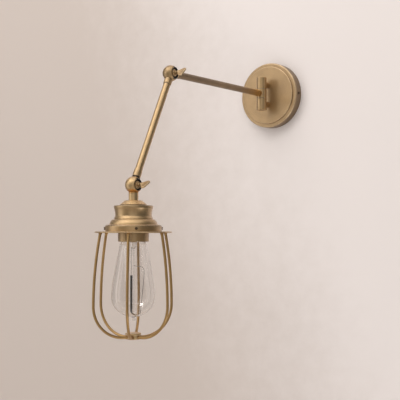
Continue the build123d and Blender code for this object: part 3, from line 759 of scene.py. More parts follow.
# Nodes whose brass differs from the rest of their slot.
# Painted shade: these nodes take the darker copy of the brass.
PAINTED_DARKER = "upper_arm_tube", "upper_arm_ferrule", "arm_root_fitting", "upper_arm_set_screw"
# Painted light: these nodes take the lighter copy of the brass.
PAINTED_LIGHTER = (
    "cage_ring", "cage_hub", "holder_dome", "shade_neck", "shade_pivot_arm_half", "shade_pivot_neck_half",
)
OWN_FINISH: dict[str, MetalFinish] = {
    **dict.fromkeys(PAINTED_DARKER, SHADED_BRASS),
    **dict.fromkeys(PAINTED_LIGHTER, PAINTED_LIGHT_BRASS),
    "cage_wires": WIRE_BRASS,
    "wall_plate": PLATE_BRASS,
}


class Dresser:
    """Gives every shown piece its finish, from its slot and the axis that it was worked about."""

    def __init__(self) -> None:
        """Starts with no material made."""
        self.made: dict[tuple, Material] = {}

    def dress(
        self, axis: Axis, *names: str, grain: Grain = Grain.TURNED, bands: tuple[Band, ...] = (),
    ) -> None:
        """Puts their finish on pieces and nodes, in a material that those with the same work share.

        Args:
            axis: The axis of their tool lines.
            *names: Names of nodes, or of pieces that stand for one.
            grain: How they were worked.
            bands: Bands across them.
        """
        for name in names:
            piece = bpy.data.objects[name]
            node = piece["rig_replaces"][0] if "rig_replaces" in piece else name
            finish = OWN_FINISH.get(node, FINISH_OF[Slot(SLOT_OF[node])])
            worked = (grain, axis) if isinstance(finish, MetalFinish) else ()
            key = (finish, bands, worked)
            if key not in self.made:
                self.made[key] = finish.material(bands, *worked)
            material = self.made[key]
            if not piece.material_slots:
                piece.data.materials.append(material)
            for slot in piece.material_slots:
                slot.material = material
            log.info("%s dressed in %s", name, material.name)


# Sub-assemblies

SWIVEL = joint_place("arm_swing")
ELBOW = joint_place("elbow_bend")
SHADE_PIVOT = joint_place("shade_tilt")
LEAN = (ELBOW - SHADE_PIVOT).normalized()
WALL_AXIS = Axis(Vector((0, 0, 0)), -Y)
SWIVEL_AXIS = Axis(SWIVEL, Z)
SWIVEL_OUT = Axis(SWIVEL, -Y)
UPPER_AXIS = Axis(ELBOW, Y)
ELBOW_DOWN = Axis(ELBOW, -LEAN)
LOWER_AXIS = Axis(SHADE_PIVOT, LEAN)
SHADE_AXIS = Axis(SHADE_PIVOT, -Z)
# Painted shade: a dark band where the lower arm's end ferrule meets the shade pivot's ball, for the shadowed
# gap between them.
SHADE_JOINT_PAINTED_SHADE = Band(LOWER_AXIS, 12.6 * MM, 1.0 * MM, AGED_BRASS.grime_and_shade)
# Painted reflection: an orange band round the foot of the shade pivot's ball, for the warm brass just below
# it.
SHADE_FOOT_PAINTED_REFLECTION = Band(SHADE_AXIS, 9.4 * MM, 3.0 * MM, (0.56, 0.275, 0.07))


def drops(node: str) -> tuple[float, float]:
    """How far a node's top and bottom lie below the shade's pivot."""
    low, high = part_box(node)
    return SHADE_PIVOT.z - high.z, SHADE_PIVOT.z - low.z


def reach(node: str) -> float:
    """A turned node's largest radius, from its width."""
    low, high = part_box(node)
    return (high.x - low.x) / 2


@dataclass
class WallMount:
    """Round wall plate with its strap and screws, and the swivel that stands on it."""

    plate_wall: float = 1.5 * MM
    shoulder_width: float = 6.5 * MM
    disc_rise: float = 2.6 * MM
    rim_round: float = 2.2 * MM
    disc_round: float = 1.6 * MM
    foot_round: float = 0.5 * MM
    seam_round: float = 0.35 * MM
    # A band of painted shade round the plate's rim, darkest next to the wall.
    rim_shade_height: float = 4.0 * MM
    rim_shade_width: float = 14.0 * MM

    def plate(self) -> None:
        """The pressed plate: a dish with a raised disc, turned about the wall's normal."""
        low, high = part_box("wall_plate")
        radius = reach("wall_plate")
        front = high.y - low.y
        shoulder = front - self.disc_rise
        disc = radius - self.shoulder_width
        wall = self.plate_wall
        spun("pressed_wall_plate", "wall_plate", WALL_AXIS, rounded([
            (0, front, 0), (disc, front, self.disc_round), (disc, shoulder, self.seam_round),
            (radius, shoulder, self.rim_round), (radius, 0, self.foot_round),
            (radius - wall, 0, self.foot_round), (radius - wall, shoulder - wall, self.seam_round),
            (disc - wall, shoulder - wall, self.seam_round), (disc - wall, front - wall, self.seam_round),
            (0, front - wall, 0),
        ], closed=False), columns=192)

    def build(self, dresser: Dresser) -> None:
        """Builds the plate and dresses everything on the wall.

        Args:
            dresser: Puts the finishes on.
        """
        self.plate()
        # Painted shade on the plate's rim near the wall.
        grime_and_shade = Band(WALL_AXIS, self.rim_shade_height, self.rim_shade_width, SHADED_BRASS.colour)
        dresser.dress(WALL_AXIS, "pressed_wall_plate", bands=(grime_and_shade,))
        dresser.dress(WALL_AXIS, "wall_strap", "plate_side_screws", "ground_screw", "hinge_stub_nuts")
        dresser.dress(
            SWIVEL_AXIS, "upper_hinge_knuckle", "lower_hinge_knuckle", "hinge_pin", "hinge_washers",
            "hinge_end_caps", "swing_knuckle", grain=Grain.DRAWN)


@dataclass
class SwingArms:
    """The two tube arms with their root fitting and ferrules."""

    # Bands of painted shade at the lower arm's joints: at the start of the end ferrule and at the end of the
    # top ferrule.
    foot_shade_start: float = 13.0 * MM
    foot_shade_width: float = 0.8 * MM
    head_end: float = 20.4 * MM
    head_shade_width: float = 0.9 * MM
    warm_reach: float = 72.0 * MM
    warm: Triple = (0.31, 0.185, 0.075)
    root_reach: float = 36.0 * MM
    root_warm: Triple = (0.43, 0.24, 0.075)

    def build(self, dresser: Dresser) -> None:
        """Dresses the arms: tubes are drawn lengthwise, fittings are turned.

        Args:
            dresser: Puts the finishes on.
        """
        near_wall = (
            Band(SWIVEL_OUT, 0.0, self.warm_reach, self.warm),
            Band(SWIVEL_OUT, 0.0, self.root_reach, self.root_warm),
        )
        # Painted shade where the lower arm's ferrules meet the ball and the tube.
        foot = Band(LOWER_AXIS, self.foot_shade_start, self.foot_shade_width, AGED_BRASS.grime_and_shade)
        head_shade = Band(ELBOW_DOWN, self.head_end, self.head_shade_width, AGED_BRASS.grime_and_shade)
        dresser.dress(UPPER_AXIS, "upper_arm_tube", grain=Grain.DRAWN, bands=near_wall)
        dresser.dress(LOWER_AXIS, "lower_arm_tube", grain=Grain.DRAWN, bands=(head_shade,))
        dresser.dress(UPPER_AXIS, "arm_root_fitting", bands=near_wall)
        dresser.dress(UPPER_AXIS, "upper_arm_ferrule", "upper_arm_set_screw")
        dresser.dress(LOWER_AXIS, "lower_arm_top_ferrule")
        dresser.dress(LOWER_AXIS, "lower_arm_end_ferrule", bands=(foot,))


@dataclass
class BallPivot:
    """A split ball with its cup washer, friction disc and thumb screw."""

    name: str
    centre: Vector
    halves: tuple[str, str]
    paddle_turn: float
    brass: MetalFinish
    lines: tuple[Band, ...] = ()
    washer_floor: float = 0.95 * MM
    thread_radius: float = 2.5 * MM
    thread_round: float = 0.4 * MM
    flange_radius: float = 5.8 * MM
    flange_thickness: float = 2.4 * MM
    flange_seat_round: float = 0.15 * MM
    flange_round: float = 0.6 * MM
    shank_radius: float = 3.1 * MM
    shank_round: float = 0.5 * MM
    waist_radius: float = 2.4 * MM
    waist_round: float = 5.0 * MM
    fan_length: float = 11.8 * MM
    fan_shoulder: float = 6.0 * MM
    fan_half_width: float = 10.0 * MM
    fan_end_half_width: float = 8.6 * MM
    fan_corner: float = 3.8 * MM
    fan_half_thickness: float = 1.5 * MM
    fan_round: float = 1.2 * MM
    fan_squareness: float = 0.7
    fan_flatness: float = 0.5
    fan_edge: int = 12
    sides: int = 72
    # Painted shade round the flat: a dark band on the ball next to it, covered on the front with the brass's
    # tarnish colour so it stays on the back, and the washer painted black on its back side.
    flat_shade_width: float = 1.0 * MM
    edge_width: float = 0.5 * MM
    front_brass_reach: float = 8.6 * MM
    front_brass_width: float = 6.0 * MM
    back_shade_reach: float = 5.0 * MM
    back_shade_width: float = 9.0 * MM

    def thumb_screw(self) -> None:
        """The thumb screw as one loft along the pivot's axis.

        Each section is a superellipse, |w / a| ** (2 / p) + |t / b| ** (2 / q) = 1. Along the thread, the
        flange and the shank it is a circle, so a and b are the turned radius and p and q are 1. In the
        fan a follows the fan's outline, b eases to half its thickness and closes with a round at the end,
        and p and q fall, which makes the section a slab with soft edges.
        """
        node = f"{self.name}_thumb_screw"
        low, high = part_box(node)
        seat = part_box(f"{self.name}_thumb_washer")[0].x + self.washer_floor
        start, end = low.x, high.x
        flange_end = seat + self.flange_thickness
        neck = end - self.fan_length
        widest = end - self.fan_shoulder
        outline = rounded([
            (0, start, 0), (self.thread_radius, start, self.thread_round), (self.thread_radius, seat, CRISP),
            (self.flange_radius, seat, self.flange_seat_round),
            (self.flange_radius, flange_end, self.flange_round),
            (self.shank_radius, flange_end, self.shank_round), (self.waist_radius, neck, self.waist_round),
            (self.fan_half_width, widest, self.fan_corner), (self.fan_end_half_width, end, self.fan_corner),
            (0, end, 0),
        ], closed=False, steps=14)
        rows = int(np.argmax(outline.height > end - WELD)) + 1
        height, wide = outline.height[:rows], outline.radius[:rows]
        fade = eased(height, neck, widest)[:, None]
        ending = np.clip((height - end + self.fan_round) / self.fan_round, 0, 1)[:, None]
        stem = np.where(height > neck - self.waist_round, np.minimum(wide, self.shank_radius), wide)
        thin = ((1 - fade) * stem[:, None] + fade * self.fan_half_thickness) * np.sqrt(1 - ending ** 2)
        angle = np.linspace(0, FULL_TURN, self.sides, endpoint=False)
        cosine, sine = np.cos(angle), np.sin(angle)
        sideways = np.sign(cosine) * np.abs(cosine) ** (1 - self.fan_squareness * fade) * wide[:, None]
        through = np.sign(sine) * np.abs(sine) ** (1 - self.fan_flatness * fade) * thin
        turn = math.radians(self.paddle_turn)
        up = np.array((0, math.sin(turn), math.cos(turn)))
        side = np.cross((1, 0, 0), up)
        points = sideways[..., None] * up + through[..., None] * side
        points += np.array((0, self.centre.y, self.centre.z)) + height[:, None, None] * np.array((1, 0, 0))
        rim = fade * np.abs(cosine) ** self.fan_edge
        wear = (1 - fade) * outline.wear[:rows, None] + np.maximum(rim, ending)
        mesh_piece(f"{self.name}_thumb_key", node, points, grid_faces(rows, self.sides, False), wear)

    def build(self, dresser: Dresser) -> None:
        """Builds the thumb screw and dresses the pivot.

        Args:
            dresser: Puts the finishes on.
        """
        self.thumb_screw()
        axis = Axis(self.centre, X, Y)
        flat = max(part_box(half)[1].x for half in self.halves)
        washer = f"{self.name}_thumb_washer"
        # Painted shade: rim darkens the ball's edge at the flat, rubbed paints its front back to brass, and
        # back_shade paints the back of the washer's rim black.
        rim = Band(axis, flat, self.flat_shade_width, FIBRE.film)
        rubbed = Band(Axis(self.centre, -Y), self.front_brass_reach, self.front_brass_width, self.brass.tarnish)
        edge = Band(axis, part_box(washer)[1].x, self.edge_width, AGED_BRASS.tarnish)
        back_shade = Band(Axis(self.centre, Y), self.back_shade_reach, self.back_shade_width, FIBRE.colour)
        dresser.dress(axis, f"{self.name}_thumb_key", f"{self.name}_friction_disc")
        dresser.dress(axis, washer, bands=(edge, back_shade))
        dresser.dress(axis, *self.halves, bands=(rim, rubbed, *self.lines))


@dataclass
class ShadeHolder:
    """Neck, dome and spun holder above the cage."""

    wall: float = 1.2 * MM
    bore: float = 5.25 * MM
    dome_top: float = 12.2 * MM
    dome_round: float = 2.4 * MM
    dome_edge: float = 0.4 * MM
    crown: float = 28.5 * MM
    crown_fall: float = 1.0 * MM
    crown_band: float = 4.4 * MM
    crown_round: float = 1.2 * MM
    cove_sagitta: float = 0.4 * MM
    waist: float = 26.5 * MM
    waist_top: float = 13.4 * MM
    waist_end: float = 16.2 * MM
    waist_round: float = 2.0 * MM
    bead: float = 28.4 * MM
    bead_drop: float = 20.4 * MM
    groove_width: float = 0.8 * MM
    groove_depth: float = 0.7 * MM
    bell_start: float = 30.6 * MM
    bell_sagitta: float = 0.75 * MM
    bell: float = 35.0 * MM
    bell_drop: float = 28.4 * MM
    shoulder_fall: float = 1.1 * MM
    collar_round: float = 2.4 * MM
    soft_round: float = 40 * MM
    bow_points: int = 9

    def bowed(self, start: tuple[float, float], end: tuple[float, float], sagitta: float) -> list[Triple]:
        """Corners along a shallow bow between two places of an outline, without the places themselves.

        The bow is the straight line plus a parabola, four times the sagitta times share times (1 - share),
        along the line's normal.

        Args:
            start: Radius and height where it starts.
            end: Radius and height where it ends.
            sagitta: How far its middle stands out, positive away from the axis.
        Returns:
            (radius, height, rounding) for each corner.
        """
        first, last = np.array(start), np.array(end)
        share = np.linspace(0, 1, self.bow_points)[1:-1, None]
        run = (last - first) / np.linalg.norm(last - first)
        normal = np.array((run[1], -run[0]))
        line = first + share * (last - first) + 4 * sagitta * share * (1 - share) * normal
        return [(radius, height, self.soft_round) for radius, height in line.tolist()]

    def holder(self) -> None:
        """The spun holder: crown, cove, bead, groove, bell and collar, with a wall of even thickness."""
        top, end = drops("shade_holder")
        collar = reach("shade_holder")
        wall = self.wall
        band = (self.crown, top + self.crown_band)
        waist = (self.waist, top + self.waist_top)
        groove = top + self.bead_drop
        bottom = self.bead - self.groove_depth
        bell_start = (self.bell_start, groove + self.groove_width)
        bell_end = (self.bell, top + self.bell_drop)
        shoulder = top + self.bell_drop + self.shoulder_fall
        outer = [
            (self.bore, top, CRISP), (self.crown, top + self.crown_fall, self.crown_round),
            (*band, self.soft_round), *self.bowed(band, waist, -self.cove_sagitta),
            (*waist, self.soft_round), (self.waist, top + self.waist_end, self.waist_round),
            (self.bead, groove, FINE), (bottom, groove, CRISP), (bottom, groove + self.groove_width, CRISP),
            (*bell_start, FINE), *self.bowed(bell_start, bell_end, self.bell_sagitta), (*bell_end, FINE),
            (collar, shoulder, self.collar_round), (collar, end, FINE),
        ]
        inner = [
            (collar - wall, end, FINE), (collar - wall, shoulder + wall, self.collar_round - wall),
            (self.bell - wall, top + self.bell_drop + wall, FINE),
            (self.waist - wall, top + self.waist_end + wall, self.waist_round),
            (self.waist - wall, top + self.waist_top, self.soft_round),
            (self.crown - wall, top + self.crown_fall + wall, self.crown_round),
            (self.bore, top + wall, CRISP),
        ]
        profile = rounded(outer + inner, closed=True)
        spun("spun_shade_holder", "shade_holder", SHADE_AXIS, profile, columns=160)

    def dome(self) -> None:
        """The dome under the neck: a cone with a rounded top."""
        top, end = drops("holder_dome")
        base = reach("holder_dome")
        spun("turned_holder_dome", "holder_dome", SHADE_AXIS, rounded([
            (self.bore, top, CRISP), (self.dome_top, top, self.dome_round),
            (base, end - self.dome_edge, FINE), (base, end, CRISP), (self.bore, end, CRISP),
        ], closed=True), columns=128)

    def build(self, dresser: Dresser) -> None:
        """Builds the holder and the dome and dresses what is on them.

        Args:
            dresser: Puts the finishes on.
        """
        self.holder()
        self.dome()
        dresser.dress(
            SHADE_AXIS, "spun_shade_holder", "turned_holder_dome", "shade_neck", "neck_nuts",
            "holder_screws")


@dataclass
class WireCage:
    """Flat ring, six bent wires and the hub that gathers them."""

    count: int = 6
    first: float = 33.6
    wire: float = 2.0 * MM
    inset: float = 5.45 * MM
    hub: float = 9.8 * MM
    hub_flange: float = 2.6 * MM
    hub_flange_round: float = 0.8 * MM
    hub_end_round: float = 1.6 * MM
    hub_depth: float = 4.0 * MM
    approach: float = 4.95 * MM
    lip_inset: float = 1.45 * MM
    lip_wall: float = 1.2 * MM
    lip_round: float = 0.5 * MM
    ring_thickness: float = 2.0 * MM
    ring_round: float = 0.95 * MM
    solder_swell: float = 0.45
    solder_length: float = 1.3 * MM
    sides: int = 20
    bow_points: int = 60
    bend_points: int = 40
    end_points: int = 12

    def angles(self) -> Array:
        """The wires' angles about the shade's axis, in radians."""
        return np.radians(90 - self.first - np.arange(self.count) * 360 / self.count)

    def path(self) -> tuple[Array, Array]:
        """One wire's line in the plane of radius and drop.

        A long bow of one arc widens from the ring to the widest place, a quarter circle turns in below
        it, and a straight end runs into the hub. The widest radius follows from the cage's width across
        the wire that lies nearest to X.

        Returns:
            Radii and drops along the wire.
        """
        top, bottom = drops("cage_wires")
        level = bottom - self.wire
        start = reach("cage_ring") - self.inset
        wide = (reach("cage_wires") - self.wire) / np.abs(np.cos(self.angles())).max()
        bend = wide - self.hub - self.approach
        widest = level - bend
        swell, fall = wide - start, widest - top
        bow = (fall ** 2 + swell ** 2) / (2 * swell)
        rise = np.linspace(fall, 0, self.bow_points)
        turn = np.linspace(0, np.pi / 2, self.bend_points)[1:]
        straight = np.linspace(self.hub + self.approach, self.hub - self.hub_depth, self.end_points)[1:]
        radius = np.concatenate([
            wide - bow + np.sqrt(bow ** 2 - rise ** 2), wide - bend + bend * np.cos(turn), straight,
        ])
        drop = np.concatenate([widest - rise, widest + bend * np.sin(turn), np.full(len(straight), level)])
        return radius, drop

    def wires(self) -> None:
        """All wires as one piece, each thicker for a millimetre where it is soldered to the ring and hub."""
        radius, drop = self.path()
        length = run_length(radius, drop)
        hub_place = length[-1] - self.hub_depth
        flow = np.exp(-length / self.solder_length) + np.exp(-np.abs(length - hub_place) / self.solder_length)
        thickness = self.wire * (1 + self.solder_swell * flow)
        rods = [bent_rod(SHADE_AXIS, angle, radius, drop, thickness, self.sides) for angle in self.angles()]
        points = np.concatenate([rings.reshape(-1, 3) for rings, _ in rods])
        each = len(points) // self.count
        faces = np.concatenate([quads + number * each for number, (_, quads) in enumerate(rods)])
        mesh_piece("soldered_cage_wires", "cage_wires", points, faces, np.zeros(len(points)))

    def ring(self) -> None:
        """The flat ring with the lip that slips into the collar."""
        top, under = drops("cage_ring")
        outside = reach("cage_ring")
        face = under - self.ring_thickness
        lip = reach("shade_holder") - self.lip_inset
        spun("flat_cage_ring", "cage_ring", SHADE_AXIS, rounded([
            (lip - self.lip_wall, top, FINE), (lip, top, FINE), (lip, face, FINE),
            (outside, face, self.ring_round), (outside, under, self.ring_round),
            (lip - self.lip_wall, under, self.lip_round),
        ], closed=True), columns=160)

    def button(self) -> None:
        """The hub: a button with a wider flange on top."""
        top, end = drops("cage_hub")
        flange = reach("cage_hub")
        under = top + self.hub_flange
        spun("turned_cage_hub", "cage_hub", SHADE_AXIS, rounded([
            (0, top, 0), (flange, top, self.hub_flange_round), (flange, under, self.hub_flange_round),
            (self.hub, under, FINE), (self.hub, end, self.hub_end_round), (0, end, 0),
        ], closed=False), columns=96)

    def build(self, dresser: Dresser) -> None:
        """Builds the cage and dresses it.

        Args:
            dresser: Puts the finishes on.
        """
        self.wires()
        self.ring()
        self.button()
        dresser.dress(SHADE_AXIS, "soldered_cage_wires", "flat_cage_ring", "turned_cage_hub")


@dataclass
class LampSocket:
    """Brass shell with the porcelain body and its contacts."""

    wall: float = 1.0 * MM
    bore: float = 5.25 * MM
    top_round: float = 1.2 * MM
    inner_round: float = 0.4 * MM
    hem_round: float = 0.45 * MM
    inside: tuple[str, ...] = ("socket_body", "socket_screw_shell", "socket_contact")

    def shell(self) -> None:
        """The drawn shell: a cup with a rounded top and a hemmed mouth."""
        top, end = drops("socket_shell")
        radius = reach("socket_shell")
        inside, under = radius - self.wall, top + self.wall
        spun("drawn_socket_shell", "socket_shell", SHADE_AXIS, rounded([
            (self.bore, top, CRISP), (radius, top, self.top_round), (radius, end, self.hem_round),
            (inside, end, self.hem_round), (inside, under, self.inner_round), (self.bore, under, CRISP),
        ], closed=True), columns=128)

    def build(self, dresser: Dresser) -> None:
        """Builds the shell and dresses the socket."""
        self.shell()
        dresser.dress(SHADE_AXIS, "drawn_socket_shell", *self.inside)


@dataclass
class PearBulb:
    """Clear pear-shaped bulb with a threaded cap and one bent filament."""

    wall: float = 0.6 * MM
    neck: float = 12.53 * MM
    neck_drop: float = 8.5 * MM
    neck_round: float = 5.0 * MM
    neck_edge: float = 0.2 * MM
    shoulder: float = 19.6 * MM
    shoulder_drop: float = 15.0 * MM
    shoulder_round: float = 12.0 * MM
    widest_rise: float = 34.4 * MM
    upper_axis: float = 66.0 * MM
    lower_axis: float = 28.6 * MM
    pip: float = 3.4 * MM
    pip_waist: float = 2.9 * MM
    pip_roundness: float = 0.95
    pip_fillet: float = 0.8 * MM
    pip_fall: float = 1.0 * MM
    below_points: int = 48
    above_points: int = 24
    arc_steps: int = 16
    cap_wall: float = 0.5 * MM
    cap_round: float = 1.6 * MM
    cap_rows: int = 90
    cap_columns: int = 96
    thread_pitch: float = 3.6 * MM
    thread_depth: float = 0.55 * MM
    thread_start: float = 2.0 * MM
    thread_stop: float = 2.5 * MM
    thread_fade: float = 2.0 * MM
    filament_plane: float = 37.0
    filament_left: float = -2.9 * MM
    filament_right: float = 15.6 * MM
    filament_foot: float = 10.2 * MM
    filament_bend: float = 6.0 * MM
    filament_rise: float = 8.6 * MM
    filament_thick: float = 1.7 * MM
    filament_thin: float = 0.3 * MM
    filament_taper: tuple[float, float] = (0.38, 0.52)
    filament_steps: int = 20
    filament_points: int = 160
    filament_sides: int = 16

    def outline(self, inset: float) -> Profile:
        """The pear's outline from its lower end up to the neck, inset by a wall.

        Two half ellipses meet at the widest place, a shallow one below and a long one above. The long one
        ends where a straight line from the shoulder touches it: with the shoulder at (u, r) from the
        widest place's centre and half axes b and a, at the angle atan2(u / b, r / a) less
        acos(1 / hypot(u / b, r / a)). The line runs on to the shoulder and bends into the neck.

        Args:
            inset: The distance to the outer face.
        Returns:
            The profile, whose first radius is that of the pip.
        """
        top, end = drops("bulb_glass")
        belly = reach("bulb_glass") - inset
        neck = self.neck - inset
        widest = end - self.widest_rise
        upper, lower = self.upper_axis - inset, self.lower_axis - inset
        shoulder = (self.shoulder - inset, top + self.shoulder_drop)
        along, across = (widest - shoulder[1]) / upper, shoulder[0] / belly
        touch = math.atan2(along, across) - math.acos(1 / math.hypot(along, across))
        below = np.linspace(math.acos(self.pip / belly), 0, self.below_points)
        above = np.linspace(0, touch, self.above_points)[1:]
        line = rounded([
            (belly * math.cos(touch), widest - upper * math.sin(touch), 0),
            (*shoulder, self.shoulder_round - inset), (neck, top + self.neck_drop, self.neck_round + inset),
            (neck, top, self.neck_edge),
        ], closed=False, steps=self.arc_steps)
        radius = np.concatenate([belly * np.cos(below), belly * np.cos(above), line.radius])
        drop = np.concatenate([widest + lower * np.sin(below), widest - upper * np.sin(above), line.height])
        return Profile(radius, drop, np.zeros(len(radius)))

    def glass(self) -> None:
        """The blown glass: the pear outside and inside, with a drawn-off pip under it."""
        end = drops("bulb_glass")[1]
        outer, inner = self.outline(0), self.outline(self.wall)
        foot = outer.height[0]
        tip = rounded([
            (0, end, 0), (self.pip_waist, end, self.pip_waist * self.pip_roundness),
            (self.pip_waist, foot + self.pip_fall, self.pip_fillet), (outer.radius[0], foot, 0),
        ], closed=False, steps=self.arc_steps)
        radius = np.concatenate([tip.radius, outer.radius, inner.radius[::-1], [0]])
        drop = np.concatenate([tip.height, outer.height, inner.height[::-1], [inner.height[0]]])
        profile = Profile(radius, drop, np.zeros(len(radius)))
        spun("blown_bulb", "bulb_glass", SHADE_AXIS, profile, columns=128)

    def cap(self) -> None:
        """The threaded cap.

        The radius follows the height with a wave that moves once round the axis in each pitch, so that
        the crests join to one thread. It fades out at the rim and at the rounded end, whose edge is a
        quarter circle.
        """
        top, end = drops("bulb_cap")
        height = np.linspace(top, end, self.cap_rows)[:, None]
        angle = np.linspace(0, FULL_TURN, self.cap_columns, endpoint=False)
        room = np.minimum(height - top - self.thread_start, end - self.thread_stop - height)
        wave = 0.5 - 0.5 * np.cos(FULL_TURN * height / self.thread_pitch - angle)
        thread = np.clip(room / self.thread_fade, 0, 1) * wave
        edge = np.clip((top + self.cap_round - height) / self.cap_round, 0, 1)
        outer = reach("bulb_cap") - self.cap_round * (1 - np.sqrt(1 - edge ** 2)) - self.thread_depth * thread
        inner = outer - self.cap_wall
        middle = np.zeros((1, self.cap_columns))
        radius = np.concatenate([middle, outer, inner[::-1], middle])
        lining = height[::-1] + np.linspace(0, self.cap_wall, self.cap_rows)[:, None]
        level = np.concatenate([[[top]], height, lining, [[top + self.cap_wall]]])
        points = SHADE_AXIS.place(radius, angle, np.minimum(level, end))
        crest = np.concatenate([middle, -thread, np.zeros((self.cap_rows + 1, self.cap_columns))])
        mesh_piece("threaded_bulb_cap", "bulb_cap", points, grid_faces(*radius.shape, False), crest)

    def filament(self) -> None:
        """The bent filament: a thick dark leg, a turn at the foot and a leg that thins towards its lead."""
        top = drops("bulb_filament")[0]
        end = drops("bulb_glass")[1] - self.filament_rise
        line = rounded([
            (self.filament_left, top, 0), (self.filament_left, end, self.filament_bend),
            (self.filament_foot, end, self.filament_bend), (self.filament_right, top, 0),
        ], closed=False, steps=self.filament_steps)
        length = run_length(line.radius, line.height)
        even = np.linspace(0, length[-1], self.filament_points)
        across, drop = np.interp(even, length, line.radius), np.interp(even, length, line.height)
        taper = eased(even / length[-1], *self.filament_taper)
        thickness = self.filament_thick + (self.filament_thin - self.filament_thick) * taper
        plane = -math.radians(self.filament_plane)
        points, faces = bent_rod(SHADE_AXIS, plane, across, drop, thickness, self.filament_sides)
        mesh_piece("carbon_filament", "bulb_filament", points, faces, np.zeros(points.shape[:2]))

    def build(self, dresser: Dresser) -> None:
        """Builds the bulb and dresses it.

        Args:
            dresser: Puts the finishes on.
        """
        self.glass()
        self.cap()
        self.filament()
        dresser.dress(
            SHADE_AXIS, "blown_bulb", "threaded_bulb_cap", "carbon_filament", "bulb_insulator",
            "bulb_contact", "bulb_stem", "bulb_leads")


# Studio

# The place that the lamps face, and the least cosine or sine that is divided by.
AIM = Vector((0.0, -0.22, -0.1))
LEAST_SIDE = 1e-9


@dataclass(frozen=True)
class Lamp:
    """A soft rectangular lamp that faces the object, with its size in metres and its power in watts."""

    name: str
    place: Triple
    size: tuple[float, float]
    power: float
    colour: Triple = (1.0, 0.98, 0.95)

    def build(self) -> None:
        """Hangs the lamp."""
        light = bpy.data.lights.new(self.name, "AREA")
        light.shape = "RECTANGLE"
        light.size, light.size_y = self.size
        light.energy = self.power
        light.color = self.colour
        lamp = placed(self.name, light)
        lamp.location = self.place
        lamp.rotation_euler = (AIM - Vector(self.place)).to_track_quat("-Z", "Y").to_euler()


LAMPS = (
    Lamp("key lamp", (-0.8, -2.1, 1.5), (2.6, 2.6), 25.0),
    Lamp("top lamp", (0.2, -1.0, 1.75), (3.4, 2.2), 34.0, (1.0, 0.98, 0.96)),
    Lamp("front fill", (1.5, -2.3, 0.0), (2.0, 2.2), 8.0),
    Lamp("left fill", (-1.9, -2.1, -0.2), (1.6, 2.2), 13.0),
    Lamp("glint lamp", (1.0, -0.33, -1.15), (0.34, 0.34), 3.2, (1.0, 1.0, 1.0)),
    Lamp("back lamp", (-0.9, 1.9, 0.9), (1.6, 1.6), 16.0),
)


@dataclass(frozen=True)
class Plaster:
    """A matt panel finish that passes from a shade to a colour along a slope, clear from behind; the passage
    paints light and shade across the panel.

    slope is the change of the colour's share for each metre, and middle its share at the origin.
    """

    shade: Triple
    colour: Triple
    slope: Triple
    middle: float
    cloud_scale: float = 3.0
    cloud_depth: float = 0.1
    mottle_scale: float = 34.0
    mottle_depth: float = 0.06
    grain_scale: float = 60.0
    grain_strength: float = 0.15
    grain_depth: float = 1.0 * MM
    roughness: float = 0.9
    gloss: float = 0.1

    def material(self, name: str) -> Material:
        """Builds the finish.

        Args:
            name: The material's name.
        Returns:
            The material.
        """
        graph = MaterialGraph(name)
        painted_light_ramp = graph.add("ShaderNodeVectorMath", graph.coordinates, self.slope, operation="DOT_PRODUCT")
        cloud = graph.noise(graph.coordinates, self.cloud_scale, detail=3.0, rough=0.5)
        mottle = graph.noise(graph.coordinates, self.mottle_scale, detail=4.0, rough=0.6)
        uneven = graph.math(
            "ADD", graph.between(cloud, *USUAL, -self.cloud_depth, self.cloud_depth),
            graph.between(mottle, *USUAL, -self.mottle_depth, self.mottle_depth))
        share = graph.math("ADD", graph.math("ADD", painted_light_ramp.outputs["Value"], self.middle), uneven)
        ease = graph.add("ShaderNodeMapRange", share, interpolation_type="SMOOTHSTEP")
        graph.surface(
            Base_Color=graph.mix(ease.outputs[0], self.shade, self.colour), Roughness=self.roughness,
            Specular_IOR_Level=self.gloss)
        grain = graph.noise(graph.coordinates, self.grain_scale, detail=3.0, rough=0.5)
        graph.bump(grain, self.grain_strength, self.grain_depth)
        graph.clear_where(graph.add("ShaderNodeNewGeometry").outputs["Backfacing"])
        return graph.material


FLOOR_COLOUR = (0.78, 0.75, 0.72)
# Painted light and shade on the wall: darker towards the lower left, lighter towards the upper right.
WALL_PLASTER_PAINTED_LIGHT = Plaster((0.685, 0.59, 0.53), (0.935, 0.85, 0.81), (2.0, 0.0, 0.9), 0.9)
FLOOR_PLASTER = Plaster(FLOOR_COLOUR, FLOOR_COLOUR, (0.0, 0.0, 0.0), 0.5)


